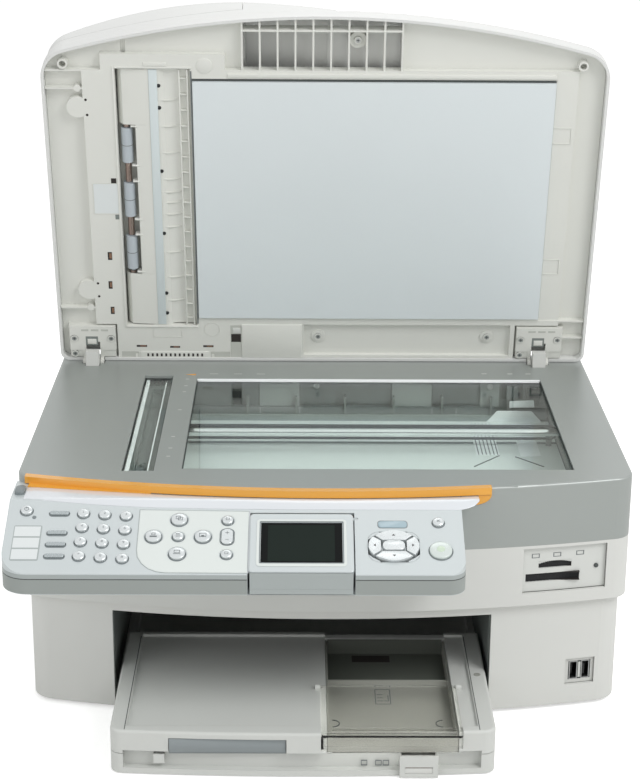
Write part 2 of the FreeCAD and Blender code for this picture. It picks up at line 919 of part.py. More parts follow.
def make_scan_drive():
    wall = d.frame_sheet
    keep("scan_rod", rod("scan_rod", "X", d.scan_rod_radius, -d.pan_left + wall, d.pan_right - wall,
                         (d.scan_rod_y, d.scan_rod_level)))
    y = (d.belt_y - d.belt_width / 2, d.belt_y + d.belt_width / 2)
    wide = (d.belt_y - d.belt_width, d.belt_y + d.belt_width)
    x = (-d.belt_left, d.belt_right)
    outside = belt_loop("belt_outside", d.belt_pulley, y, x)
    inside = belt_loop("belt_inside", d.belt_pulley - d.belt_thickness, wide, x)
    keep("scan_belt", cut("scan_belt", outside, [inside]))
    right = -d.scan_left + d.scan_width
    block = box("scan_block", (-d.scan_left, right), (-d.scan_front, d.scan_back), (d.scan_low, d.scan_high))
    bore = rod("scan_bore", "X", d.scan_rod_radius + d.bearing_gap, -d.scan_left - d.overrun, right + d.overrun,
               (d.scan_rod_y, d.scan_rod_level))
    groove_half = d.belt_width + d.move_gap
    groove = box("scan_groove", (-d.scan_left - d.overrun, right + d.overrun),
                 (d.belt_y - groove_half, d.belt_y + groove_half),
                 (zero, d.belt_axis_level + d.belt_pulley + d.move_gap * 2))
    middle = -d.scan_left + d.scan_width / 2
    lamp = box("scan_lamp_slot", (middle - d.scan_slot / 2, middle + d.scan_slot / 2),
               (-d.scan_front + d.scan_slot, d.scan_back - d.scan_slot),
               (d.scan_high - d.scan_slot_depth, d.scan_high + d.overrun))
    keep("scan_carriage", cut("scan_carriage", block, [bore, groove, lamp]))


# Print mechanism

def make_paper_guide_frame():
    low = d.body_floor + d.wall
    back = d.channel_back + d.wall
    left = (-d.opening_left - d.wall, -d.opening_left)
    right = (d.opening_right, d.opening_right + d.wall)
    front_y = (-d.guide_front, d.guide_step_y)
    rear_y = (d.guide_step_y, back)
    pieces = [
        box("guide_left_front", left, front_y, (low, d.opening_top)),
        box("guide_left_rear", left, rear_y, (low, d.guide_rear_top)),
        box("guide_right_front", right, front_y, (low, d.opening_top)),
        box("guide_right_rear", right, rear_y, (low, d.guide_rear_top)),
        box("guide_back", (left[0], right[1]), (d.channel_back, back), (low, d.guide_rear_top)),
        box("guide_platen", (left[1], right[0]), (-d.platen_front, d.platen_back),
            (d.platen_top - d.wall, d.platen_top)),
        box("runner_left", (left[1], -d.tray_left - d.move_gap), (-d.guide_front, d.tray_back),
            (d.runner_low, d.runner_high)),
        box("runner_right", (d.tray_right + d.move_gap, right[0]), (-d.guide_front, d.tray_back),
            (d.runner_low, d.runner_high)),
    ]
    rib_count = 9
    for i in range(rib_count):
        x = -d.opening_left + (d.opening_left + d.opening_right) * (i + 1) / (rib_count + 1)
        pieces.append(box("platen_rib_" + str(i), (x, x + d.frame_sheet), (-d.platen_front, d.platen_back),
                          (d.platen_top, d.platen_top + d.frame_sheet)))
    bores = []
    for name, y, level in (("feed", d.feed_y, d.feed_level), ("exit", -d.exit_y, d.exit_level)):
        bores.append(rod(name + "_bore", "X", d.shaft_radius + d.bearing_gap, -d.opening_left - d.overrun,
                         d.opening_right + d.overrun, (y, level)))
    keep("paper_guide_frame", cut("paper_guide_frame", fuse("guide_whole", pieces), bores))


def make_print_frame():
    low = d.body_floor + d.wall
    back = d.channel_back + d.wall
    thick = d.frame_sheet
    pieces = [
        box("frame_plate_left", (-d.frame_left, -d.frame_left + thick), (d.frame_front, back + thick),
            (low, d.frame_top)),
        box("frame_plate_right", (d.frame_right - thick, d.frame_right), (d.frame_front, back + thick),
            (low, d.frame_top)),
        box("frame_plate_back", (-d.frame_left, d.frame_right), (back, back + thick),
            (d.guide_rear_top - d.overrun, d.frame_top)),
    ]
    bore = rod("frame_bore", "X", d.rod_radius + d.bearing_gap, -d.frame_left - d.overrun,
               d.frame_right + d.overrun, (d.rod_y, d.rod_level))
    keep("print_frame", cut("print_frame", fuse("frame_whole", pieces), [bore]))
    keep("carriage_rod", rod("carriage_rod", "X", d.rod_radius, -d.frame_left, d.frame_right,
                             (d.rod_y, d.rod_level)))


def make_print_carriage():
    right = d.carriage_left + d.carriage_width
    x = (d.carriage_left, right)
    deck = d.carriage_low + d.carriage_deck
    floor = box("carriage_floor", x, (d.carriage_front, d.carriage_back), (d.carriage_low, deck))
    rear_y = d.carriage_front + d.cartridge_depth + d.carriage_deck / 2
    rear = box("carriage_rear", x, (rear_y, d.carriage_back), (d.carriage_low, d.carriage_high))
    bore = rod("carriage_bore", "X", d.rod_radius + d.bearing_gap, d.carriage_left - d.overrun, right + d.overrun,
               (d.rod_y, d.rod_level))
    carrier = cut("carrier", fuse("carriage_block", [floor, rear]), [bore])
    y = (d.carriage_front, d.carriage_front + d.cartridge_depth)
    spare = (d.carriage_width - d.black_width - d.colour_width) / 3
    black = box("black_cartridge", (d.carriage_left + spare, d.carriage_left + spare + d.black_width), y,
                (deck, deck + d.cartridge_height))
    colour_left = d.carriage_left + spare * 2 + d.black_width
    colour = box("colour_cartridge", (colour_left, colour_left + d.colour_width), y,
                 (deck, deck + d.cartridge_height))
    keep("print_carriage", fuse("print_carriage", [carrier, black, colour]))


def make_roller(name, y, level, radius):
    left = -d.opening_left
    right = d.opening_right
    end = d.wall + d.move_gap
    shaft = rod(name + "_shaft", "X", d.shaft_radius, left - end - d.pulley_width, right + end + d.pulley_width,
                (y, level))
    core = rod(name + "_core", "X", radius, left + d.roller_margin, right - d.roller_margin, (y, level))
    pulley = rod(name + "_pulley", "X", d.pulley_radius, left - end - d.pulley_width, left - end, (y, level))
    keep(name, fuse(name, [shaft, core, pulley]))


def make_circuit_board():
    low = d.body_floor + d.wall
    top = d.board_level + d.board_thickness
    board = box("board_plate", (-d.board_left, -d.board_right), (d.board_front, d.board_back),
                (d.board_level, top))
    posts = []
    inset = d.post_radius * 2
    for i, (x, y) in enumerate(((-d.board_left + inset, d.board_front + inset),
                                (-d.board_right - inset, d.board_front + inset),
                                (-d.board_left + inset, d.board_back - inset),
                                (-d.board_right - inset, d.board_back - inset))):
        posts.append(rod("board_post_" + str(i), "Z", d.post_radius, low, d.board_level, (x, y)))
    back = d.body_back - d.lower_inset
    left = -d.inlet_left
    block = box("inlet_block", (left, left + d.inlet_width), (back - d.inlet_depth, back),
                (top, top + d.inlet_height))
    level = top + d.inlet_height / 2
    centre = left + d.inlet_width / 2
    tools = []
    pins = []
    for i, x in enumerate((centre - d.inlet_pitch / 2, centre + d.inlet_pitch / 2)):
        tools.append(rod("inlet_bore_" + str(i), "Y", d.inlet_bore, back - d.inlet_bore_depth,
                         back + d.overrun, (x, level)))
        pins.append(rod("inlet_pin_" + str(i), "Y", d.inlet_pin, back - d.inlet_bore_depth,
                        back - d.inlet_pin, (x, level)))
    inlet = fuse("inlet", [cut("inlet_socket", block, tools)] + pins)
    keep("circuit_board", fuse("circuit_board", [board] + posts + [inlet]))


def port_block(name, x, z, setback, apex, depth):
    """Port housing: a curved face plate behind the bowed front, with a block behind it."""
    low = as_size(z[0])
    disc = bow_disc(name + "_disc", setback, low - d.overrun, z[1] + d.overrun, apex)
    deepest = -apex + x[1] * x[1] / (d.front_bow_radius * 2) + setback + d.wall
    prow = box(name + "_prow", x, (-d.front_apex - d.overrun, deepest + depth), z)
    return common(name, [disc, prow])


def make_card_reader():
    gap = d.fit_gap
    x = (d.card_left + gap, d.card_right - gap)
    z = (d.card_low + gap, d.card_high - gap)
    block = port_block("card_block", x, z, d.card_setback, d.front_apex, d.card_depth)
    front = -d.front_apex - d.overrun
    back = -d.front_apex + d.slot_depth
    upper = box("card_upper_slot", (d.upper_slot_left, d.upper_slot_right), (front, back),
                (d.upper_slot_low, d.upper_slot_high))
    lower = box("card_lower_slot", (d.lower_slot_left, d.lower_slot_right), (front, back),
                (d.lower_slot_low, d.lower_slot_high))
    keep("card_reader", cut("card_reader", block, [upper, lower]))


def make_usb_ports():
    gap = d.fit_gap
    apex = d.front_apex - d.lower_setback
    x = (d.usb_left + gap, d.usb_right - gap)
    z = (d.usb_low + gap, d.usb_high - gap)
    block = port_block("usb_block", x, z, d.wall, apex, d.usb_block_depth)
    middle = (d.usb_left + d.usb_right) / 2
    level = (d.usb_low + d.usb_high) / 2
    face = -apex + middle * middle / (d.front_bow_radius * 2) + d.wall
    ports = []
    tongues = []
    for i, x in enumerate((middle - d.usb_pitch / 2, middle + d.usb_pitch / 2)):
        ports.append(box("usb_port_" + str(i), (x - d.usb_port_width / 2, x + d.usb_port_width / 2),
                         (-d.front_apex, face + d.usb_port_depth),
                         (level - d.usb_port_height / 2, level + d.usb_port_height / 2)))
        tongues.append(box("usb_tongue_" + str(i), (x - d.usb_port_width / 2, x - d.usb_port_width / 2 + d.usb_tongue),
                           (face + d.usb_tongue, face + d.usb_port_depth),
                           (level - d.usb_port_height / 2 + d.usb_tongue,
                            level + d.usb_port_height / 2 - d.usb_tongue)))
    keep("usb_ports", fuse("usb_ports", [cut("usb_shell", block, ports)] + tongues))


# Control panel, drawn in its own tilted frame: X right, Y up the slope, Z out of the face

def slot_outline(x, y, half_width, half_height, radius):
    """Round-cornered outline about a point."""
    return rounded((x - half_width, x + half_width), (y - half_height, y + half_height), radius)


def arrow_outline(side):
    """Outline of one of the four arrow buttons round the enter button."""
    x = d.arrows_x
    y = -d.arrows_down
    if side in ("up", "down"):
        sign = 1 if side == "up" else -1
        sag = d.arrows_half_height - d.arrow_corner_y
        bow = (d.arrow_corner_x * d.arrow_corner_x + sag * sag) / (sag * 2)
        corners = [
            (x - d.arrow_inner_half, y + d.arrow_inner_y * sign),
            (x + d.arrow_inner_half, y + d.arrow_inner_y * sign),
            (x + d.arrow_corner_x, y + d.arrow_corner_y * sign),
            (x - d.arrow_corner_x, y + d.arrow_corner_y * sign),
        ]
        centre = (x, y + (d.arrows_half_height - bow) * sign)
        return corners, {2: (centre, bow, sign)}
    sign = 1 if side == "right" else -1
    sag = d.arrows_half_width - d.arrow_side_x
    bow = (d.arrow_side_y * d.arrow_side_y + sag * sag) / (sag * 2)
    corners = [
        (x + d.arrow_inner_x * sign, y + d.arrow_inner_rise),
        (x + d.arrow_inner_x * sign, y - d.arrow_inner_rise),
        (x + d.arrow_side_x * sign, y - d.arrow_side_y),
        (x + d.arrow_side_x * sign, y + d.arrow_side_y),
    ]
    centre = (x + (d.arrows_half_width - bow) * sign, y)
    return corners, {2: (centre, bow, sign)}


def round_button(name, x, down, radius):
    """Domed round cap on a stem with a flange that keeps it in."""
    low = -d.wall - d.move_gap - d.button_stem
    flange_low = -d.wall - d.move_gap - d.button_flange_height
    stem = rod(name + "_stem", "Z", radius, low, d.button_proud, (x, -down))
    dome_radius = radius * radius / (d.button_proud * 2) + d.button_proud / 2
    dome = ball(name + "_dome", dome_radius, x, -down, d.button_proud - dome_radius)
    stretch = rod(name + "_lower", "Z", radius, low, zero, (x, -down))
    cap = fuse(name + "_cap", [common(name + "_top", [stem, dome]), stretch])
    flange = rod(name + "_flange", "Z", radius + d.button_flange, flange_low, -d.wall - d.move_gap, (x, -down))
    return fuse(name, [cap, flange])


def shaped_button(name, outline, flange_outline):
    """Flat-topped cap of any outline, with a flange that keeps it in."""
    low = -d.wall - d.move_gap - d.button_stem
    cap = prism(name + "_cap", "Z", low, d.button_proud, *outline)
    softened = soften(name + "_soft", cap, "z", d.button_proud, d.button_proud / 2)
    flange_low = -d.wall - d.move_gap - d.button_flange_height
    flange = prism(name + "_flange", "Z", flange_low, -d.wall - d.move_gap, *flange_outline)
    return fuse(name, [softened, flange])


hole_tools = []


def round_hole(name, x, down, radius):
    hole_tools.append(rod(name + "_hole", "Z", radius + d.button_gap, -d.wall * 2, d.overrun, (x, -down)))


def key_place(row, column):
    """Centre of one number key, counted from the top left key."""
    x = -d.key_first_x + d.key_pitch_x * column
    down = d.key_first_down + d.key_pitch_down * row + d.key_column_drop * column
    return x, down


def make_number_keys():
    rows = 4
    for column, side in enumerate(("left", "middle", "right")):
        keys = []
        for row in range(rows):
            x, down = key_place(row, column)
            name = "key_" + side + "_" + str(row)
            keys.append(round_button(name, x, down, d.key_radius))
            round_hole(name, x, down, d.key_radius)
        node = "number_keys_" + side
        keep(node, fuse(node, keys), panel_place)


def make_bars():
    half_width = d.bar_length / 2
    half_height = d.bar_height / 2
    corner = d.bar_height / 2 - d.button_gap / 2
    flange = d.button_flange

    def bar(name, down):
        outline = slot_outline(-d.bar_x, -down, half_width, half_height, corner)
        foot = slot_outline(-d.bar_x, -down, half_width + flange, half_height + flange, corner)
        hole = slot_outline(-d.bar_x, -down, half_width + d.button_gap, half_height + d.button_gap, corner)
        hole_tools.append(prism(name + "_hole", "Z", -d.wall * 2, d.overrun, *hole))
        return shaped_button(name, outline, foot)

    keep("redial_bar", bar("redial_bar", d.bar_first_down), panel_place)
    bars = [bar("speed_bar_" + str(i), d.bar_second_down + d.bar_pitch * i) for i in range(3)]
    keep("speed_dial_bars", fuse("speed_dial_bars", bars), panel_place)


def make_round_buttons():
    places = {
        "power_button": (-d.power_x, d.power_down, d.power_radius),
        "mode_button_left": (-d.mode_x - d.mode_step_x, d.mode_down, d.mode_radius),
        "mode_button_top": (-d.mode_x, d.mode_down - d.mode_step_down, d.mode_radius),
        "mode_button_right": (-d.mode_x + d.mode_step_x, d.mode_down, d.mode_radius),
        "mode_button_bottom": (-d.mode_x, d.mode_down + d.mode_step_down, d.mode_radius),
        "menu_button": (-d.mode_x, d.mode_down, d.menu_radius),
        "side_button_top": (-d.side_x, d.side_top_down, d.side_radius),
        "side_button_bottom": (-d.side_x, d.side_bottom_down, d.side_radius),
        "cancel_button": (d.cancel_x, d.cancel_down, d.cancel_radius),
        "start_button": (d.start_x, d.start_down, d.start_radius),
    }
    for name, (x, down, radius) in places.items():
        keep(name, round_button(name, x, down, radius), panel_place)
        round_hole(name, x, down, radius)


def make_zoom_rocker():
    half_width = d.zoom_width / 2
    half_height = d.zoom_height / 2
    corner = d.zoom_width / 2 - d.button_gap
    outline = slot_outline(-d.side_x, -d.zoom_down, half_width, half_height, corner)
    foot = slot_outline(-d.side_x, -d.zoom_down, half_width + d.button_flange, half_width, corner)
    hole = slot_outline(-d.side_x, -d.zoom_down, half_width + d.button_gap, half_height + d.button_gap, corner)
    hole_tools.append(prism("zoom_hole", "Z", -d.wall * 2, d.overrun, *hole))
    cap = shaped_button("zoom_cap", outline, foot)
    level = -d.wall - d.move_gap - d.button_flange_height / 2
    pin = rod("zoom_pin", "X", (d.button_flange_height + d.move_gap) / 2, -d.side_x - half_width - d.button_flange,
              -d.side_x + half_width + d.button_flange, (-d.zoom_down, level))
    keep("zoom_rocker", fuse("zoom_rocker", [cap, pin]), panel_place)


def make_arrows():
    for side in ("up", "down", "left", "right"):
        name = "arrow_button_" + side
        outline = arrow_outline(side)
        low = -d.wall - d.move_gap - d.button_stem
        cap = prism(name + "_cap", "Z", low, d.button_proud, *outline)
        keep(name, bevel(name, cap, d.button_proud, d.button_proud / 2), panel_place)
    outline = slot_outline(d.arrows_x, -d.arrows_down, d.enter_half_width, d.enter_half_height,
                           d.enter_half_height - d.button_gap)
    low = -d.wall - d.move_gap - d.button_stem
    cap = prism("enter_cap", "Z", low, d.button_proud, *outline)
    bevelled = bevel("enter_bevelled", cap, d.button_proud, d.button_proud / 2)
    flange_low = -d.wall - d.move_gap - d.button_flange_height
    foot = slot_outline(d.arrows_x, -d.arrows_down, d.arrow_inner_x - d.button_gap, d.arrow_inner_y - d.button_gap,
                        d.enter_half_height - d.button_gap)
    flange = prism("enter_flange", "Z", flange_low, -d.wall - d.move_gap, *foot)
    keep("enter_button", fuse("enter_button", [bevelled, flange]), panel_place)
    reach_x = d.arrows_half_width + d.button_gap
    reach_y = d.arrows_half_height + d.button_gap
    well = slot_outline(d.arrows_x, -d.arrows_down, reach_x, reach_y, d.arrow_side_y)
    hole_tools.append(prism("arrows_hole", "Z", -d.wall * 2, d.overrun, *well))


def make_lcd():
    x = (-d.lcd_left, d.lcd_right)
    y = (-d.lcd_front_down, -d.lcd_back_down)
    pin = (-d.lcd_pin_down, -d.lcd_pin_depth)
    block = prism("lcd_block", "Z", -d.lcd_depth, d.lcd_proud, *rounded(x, y, d.lcd_round))
    softened = soften("lcd_soft", block, "z", d.lcd_proud, d.edge_round / 2)
    pocket = box("lcd_pocket", (-d.window_left, d.window_right), (-d.window_front_down, -d.window_back_down),
                 (d.lcd_proud - d.window_sunk - d.window_thickness, d.overrun))
    hollow = box("lcd_hollow", (x[0] + d.wall, x[1] - d.wall), (y[0] + d.wall, y[1] - d.wall * 2),
                 (-d.lcd_depth - d.overrun, d.lcd_proud - d.window_sunk - d.window_thickness - d.wall))
    shell = cut("lcd_shell", softened, [pocket, hollow])
    pins = [
        rod("lcd_pin_left", "X", d.lcd_pin_radius, x[0] - d.lcd_pin_reach, x[0] + d.lcd_round, pin),
        rod("lcd_pin_right", "X", d.lcd_pin_radius, x[1] - d.lcd_round, x[1] + d.lcd_pin_reach, pin),
    ]
    keep("lcd_housing", fuse("lcd_housing", [shell] + pins), panel_place)
    keep("lcd_window", slab("lcd_window", (-d.window_left, d.window_right),
                            (-d.window_front_down, -d.window_back_down),
                            (d.lcd_proud - d.window_sunk - d.window_thickness, d.lcd_proud - d.window_sunk)),
         panel_place)
    gap = d.lcd_side_gap
    behind = d.lcd_pin_down - d.lcd_back_down
    above = d.lcd_proud + d.lcd_pin_depth
    swing = root(behind * behind + above * above)
    hole_tools.append(box("lcd_bay", (x[0] - gap, x[1] + gap),
                          (-d.panel_front, -d.lcd_pin_down + swing + gap), (-d.lcd_depth - gap * 2, d.overrun)))
    bore = d.lcd_pin_radius + d.bearing_gap
    hole_tools.append(rod("lcd_bore", "X", bore, x[0] - d.lcd_pin_reach - d.move_gap,
                          x[1] + d.lcd_pin_reach + d.move_gap, pin))


def panel_plan(name, inset):
    """Plan prism of the control panel with its two rounded front corners."""
    left = -d.panel_left + inset
    right = d.panel_right - inset
    front = -d.panel_front + inset
    near = d.panel_round_left - inset
    far = d.panel_round_right - inset
    corners = [(left + near, front), (right - far, front), (right, front + far), (right, zero), (left, zero),
               (left, front + near)]
    arcs = {1: ((right - far, front + far), far, 1), 5: ((left + near, front + near), near, 1)}
    return prism(name, "Z", zero, d.deck_top + d.overrun, corners, arcs)


def panel_profile(name, inset, x):
    """Side profile of the control panel along X, moved in by an inset."""
    slope = tangent_of(d.panel_tilt)
    top = d.panel_top - inset
    front = -d.panel_front + inset
    drop = inset / cosine_of(d.panel_tilt)
    ledge = -d.panel_ledge + (drop - inset) / slope
    nose = d.panel_top - drop + (front + d.panel_ledge) * slope
    back = zero
    corners = [(front, d.panel_bottom + inset), (back, d.panel_bottom + inset), (back, top), (ledge, top),
               (front, nose)]
    return prism(name, "X", x[0], x[1], corners)


def make_panel_housing():
    span = (-d.panel_left - d.wall, d.panel_right + d.wall)
    outer = common("panel_outer", [panel_plan("panel_plan_outer", zero),
                                   panel_profile("panel_profile_outer", zero, span)])
    inner = common("panel_inner", [panel_plan("panel_plan_inner", d.wall),
                                   panel_profile("panel_profile_inner", d.wall, span)])
    wall = prism("panel_back_cut", "Z", zero, d.deck_top + d.overrun, *upper_outline(0.0))
    corner_left = box("panel_corner_trim", (-d.panel_left - d.overrun, -d.panel_left + d.front_round),
                      (-d.panel_end_y, zero), (zero, d.deck_top + d.overrun))
    holes = fuse("panel_holes", hole_tools)
    (x, y, z), angle = panel_place
    holes.Placement = FreeCAD.Placement(FreeCAD.Vector(), FreeCAD.Rotation(FreeCAD.Vector(1, 0, 0), 1))
    bind(holes, "Placement.Rotation.Angle", angle)
    bind(holes, "Placement.Base.y", y)
    bind(holes, "Placement.Base.z", z)
    bosses = []
    for side, low, high in (("left", -d.lcd_left - d.lcd_side_gap - d.lcd_pin_reach - d.wall,
                             -d.lcd_left - d.lcd_side_gap),
                            ("right", d.lcd_right + d.lcd_side_gap,
                             d.lcd_right + d.lcd_side_gap + d.lcd_pin_reach + d.wall)):
        boss = box("lcd_boss_" + side, (low, high), (-d.lcd_front_down, -d.lcd_back_down + d.wall),
                   (-d.lcd_depth, -d.wall / 2))
        boss.Placement = FreeCAD.Placement(FreeCAD.Vector(), FreeCAD.Rotation(FreeCAD.Vector(1, 0, 0), 1))
        boss_y = -d.panel_ledge - d.lcd_front_down * cosine_of(d.panel_tilt) + d.lcd_depth * sine_of(d.panel_tilt)
        boss_z = d.panel_top - d.lcd_front_down * sine_of(d.panel_tilt) - d.lcd_depth * cosine_of(d.panel_tilt)
        bind(boss, "Placement.Rotation.Angle", angle)
        bind(boss, "Placement.Base.y", boss_y)
        bind(boss, "Placement.Base.z", boss_z)
        bosses.append(boss)
    shell = cut("panel_shell", outer, [inner])
    whole = fuse("panel_whole", [shell] + bosses)
    keep("panel_housing", cut("panel_housing", whole, [wall, corner_left, holes]))


# Lid, drawn in its own frame: X right, Y from the hinge to the front edge, Z towards the glass

def lid_outline(inset):
    """Outline of the lid seen from the glass, moved in by an inset."""
    inset = as_size(inset)
    half = d.lid_half - inset
    bow = d.lid_bow_radius - inset
    near = d.lid_round - inset
    far = d.lid_rear_round - inset
    rear = d.lid_rear + inset
    axis = d.lid_front - d.lid_bow_radius
    corner_y = axis + root((bow - near) * (bow - near) - (half - near) * (half - near))
    ratio = bow / (bow - near)
    touch_x = (half - near) * ratio
    touch_y = axis + (corner_y - axis) * ratio
    corners = [(-half + far, rear), (half - far, rear), (half, rear + far), (half, corner_y), (touch_x, touch_y),
               (-touch_x, touch_y), (-half, corner_y), (-half, rear + far)]
    arcs = {
        1: ((half - far, rear + far), far, 1),
        3: ((half - near, corner_y), near, 1),
        4: ((zero, axis), bow, 1),
        5: ((-half + near, corner_y), near, 1),
        7: ((-half + far, rear + far), far, 1),
    }
    return corners, arcs


def arc_through(first, crest, last):
    """Centre and radius of the circle through three points, as sizes."""
    (ax, ay), (bx, by), (cx, cy) = first, crest, last
    turn = (ax * (by - cy) + bx * (cy - ay) + cx * (ay - by)) * 2
    aa = ax * ax + ay * ay
    bb = bx * bx + by * by
    cc = cx * cx + cy * cy
    x = (aa * (by - cy) + bb * (cy - ay) + cc * (ay - by)) / turn
    y = (aa * (cx - bx) + bb * (ax - cx) + cc * (bx - ax)) / turn
    radius = root((ax - x) * (ax - x) + (ay - y) * (ay - y))
    return (x, y), radius


def cover_axis_place():
    """Axis of the feeder cover's hinge, at its lower left edge."""
    return -d.hump_left + d.cover_barrel, -d.hump_base - d.move_gap - d.cover_barrel


def cover_section(name, inset):
    """Feeder cover as a solid: flat below, arched above, ends that follow the lid."""
    left = -d.hump_left + inset
    right = -d.hump_slot_x - inset
    base = -d.hump_base - d.move_gap
    first = (left, -d.hump_left_height + inset)
    crest = (-d.hump_crest_x, -d.hump_crest + inset)
    last = (right, -d.hump_slot_height + inset)
    centre, radius = arc_through(first, crest, last)
    axis_x, axis_z = cover_axis_place()
    if inset is zero:
        corners = [(left, axis_z), first, last, (right, base), (axis_x, base)]
        arcs = {1: (centre, radius, 1), 4: ((axis_x, axis_z), d.cover_barrel, 1)}
    else:
        corners = [(left, base + d.overrun), first, last, (right, base + d.overrun)]
        arcs = {1: (centre, radius, 1)}
    section = prism(name + "_section", "Y", d.hump_rear + inset, d.lid_front, corners, arcs)
    plan = prism(name + "_plan", "Z", -d.hump_crest * 2, d.overrun, *lid_outline(d.hump_inset + inset))
    return common(name, [section, plan])


def make_feeder_cover():
    outer = cover_section("cover_outer", zero)
    inner = cover_section("cover_inner", d.cover_wall)
    axis = cover_axis_place()
    barrel = rod("cover_barrel", "Y", d.cover_barrel, d.hump_rear, d.cover_lug_front + d.cover_pin_reach * 4, axis)
    hollow = cut("cover_hollow", inner, [barrel])
    mouth = box("cover_mouth", (-d.hump_slot_x - d.rest_cheek, -d.hump_slot_x + d.overrun),
                (d.hump_rear + d.rest_cheek, d.cover_lug_front), (-d.mouth_high, zero))
    tools = [hollow, mouth]
    reach = d.cover_barrel + d.move_gap * 2
    for i, y in enumerate((d.cover_lug_rear, d.cover_lug_front)):
        half = d.cover_lug_half + d.move_gap
        tools.append(rod("cover_bore_" + str(i), "Y", d.cover_pin_radius + d.bearing_gap,
                         y - half - d.cover_pin_reach - d.move_gap, y + half + d.cover_pin_reach + d.move_gap, axis))
        tools.append(box("cover_notch_" + str(i), (axis[0] - d.overrun, axis[0] + reach), (y - half, y + half),
                         (axis[1] - reach, zero)))
    keep("feeder_cover", cut("feeder_cover", outer, tools), lid_place)


def hump_solid(name, inset):
    """Base of the feeder on the lid, with the slope that holds a stack of originals."""
    left = -d.hump_left + inset
    right = d.hump_right - inset
    start = -d.lid_thickness + d.lid_wall * 2
    step = -d.hump_slot_x + d.move_gap + inset
    corners = [
        (left, start), (left, -d.hump_base + inset), (step, -d.hump_base + inset),
        (step, -d.hump_slot_height + inset), (right, -d.lid_thickness + inset), (right, start),
    ]
    section = prism(name + "_section", "Y", d.hump_rear + inset, d.lid_front, corners)
    plan = prism(name + "_plan", "Z", -d.hump_crest * 2, d.overrun, *lid_outline(d.hump_inset + inset))
    return common(name, [section, plan])


def make_lid_shell():
    outer = prism("lid_outer", "Z", -d.lid_thickness, -d.lid_rim, *lid_outline(zero))
    softened = soften("lid_soft", outer, "z", -d.lid_thickness, d.lid_edge_round)
    whole = fuse("lid_whole", [softened, hump_solid("hump_outer", zero)])
    inner = prism("lid_inner", "Z", -d.lid_thickness + d.lid_wall, d.overrun, *lid_outline(d.lid_wall))
    hump_hollow = hump_solid("hump_inner", d.lid_wall)
    rest_line = [
        (-d.hump_slot_x + d.move_gap, -d.rest_high), (d.rest_end_x, -d.rest_low),
        (d.rest_end_x, -d.hump_crest), (-d.hump_slot_x + d.move_gap, -d.hump_crest),
    ]
    rest = prism("rest_pocket", "Y", d.hump_rear + d.rest_cheek, d.cover_lug_front, rest_line)
    under_line = [
        (-d.hump_slot_x + d.move_gap + d.lid_wall, -d.hump_base + d.lid_wall),
        (-d.hump_slot_x + d.move_gap + d.lid_wall, -d.rest_high + d.lid_wall),
        (d.rest_end_x, -d.rest_low + d.lid_wall), (d.rest_end_x, -d.lid_rim),
        (-d.hump_slot_x, -d.lid_rim),
    ]
    hollow_part = common("hump_hollow", [hump_hollow, fuse("hollow_keep", [
        prism("hollow_rest", "Y", d.hump_rear + d.lid_wall, d.lid_front, under_line),
        box("hollow_left", (-d.hump_left, -d.hump_slot_x), (zero, d.lid_front), (-d.hump_crest, zero))])])
    leg_windows = []
    for side, x in (("left", -d.hinge_left), ("right", d.hinge_right)):
        wide = d.leg_half + d.cheek_gap + d.cheek_width + d.move_gap * 2
        leg_windows.append(box("shell_hinge_" + side, (x - wide, x + wide), (-d.overrun, d.leg_window_front),
                               (-d.lid_thickness + d.lid_wall, d.overrun)))
    lugs = []
    axis = cover_axis_place()
    for i, y in enumerate((d.cover_lug_rear, d.cover_lug_front)):
        half = d.cover_lug_half
        lugs.append(box("cover_lug_" + str(i), (axis[0] - d.cover_barrel, axis[0] + d.cover_barrel),
                        (y - half, y + half), (axis[1], -d.hump_base + d.lid_wall / 2)))
        lugs.append(rod("cover_lug_top_" + str(i), "Y", d.cover_barrel, y - half, y + half, axis))
        lugs.append(rod("cover_pin_" + str(i), "Y", d.cover_pin_radius, y - half - d.cover_pin_reach,
                        y + half + d.cover_pin_reach, axis))
    hollowed = cut("lid_hollowed", whole, [inner, hollow_part, rest] + leg_windows)
    keep("lid_shell", fuse("lid_shell", [hollowed] + lugs), lid_place)


def well_walls():
    """Trough in the lid's inner face that holds the feeder's rollers and guide."""
    wall = d.cover_wall
    deep = -d.well_depth
    high = -d.lid_rim - d.lid_frame_sunk
    x = (-d.well_left, -d.well_right)
    y = (d.well_rear, d.well_front)
    outer = box("well_outer", (x[0] - wall, x[1] + wall), (y[0] - wall, y[1] + wall), (deep - wall, high))
    inner = box("well_inner", x, y, (deep, high + d.overrun))
    return cut("well_trough", outer, [inner]), inner


def raised_outline(inset):
    """Outline of the lid frame's raised part, moved in by an inset."""
    left = -d.raised_left + inset
    right = d.raised_right - inset
    front = d.raised_front - inset
    rear = d.lid_rear + d.lid_wall + inset
    pocket_left = -d.hinge_left + d.bracket_half + d.pocket_gap + inset
    pocket_right = d.hinge_right - d.bracket_half - d.pocket_gap - inset
    pocket_front = d.bracket_front + d.pocket_gap + inset
    crest_left = -d.crest_left + inset
    crest_right = -d.crest_right - inset
    crest_front = d.crest_front - inset
    return [
        (pocket_left, rear), (pocket_right, rear), (pocket_right, pocket_front), (right, pocket_front),
        (right, front), (crest_right, front), (crest_right, crest_front), (crest_left, crest_front),
        (crest_left, front), (left, front), (left, pocket_front), (pocket_left, pocket_front),
    ]


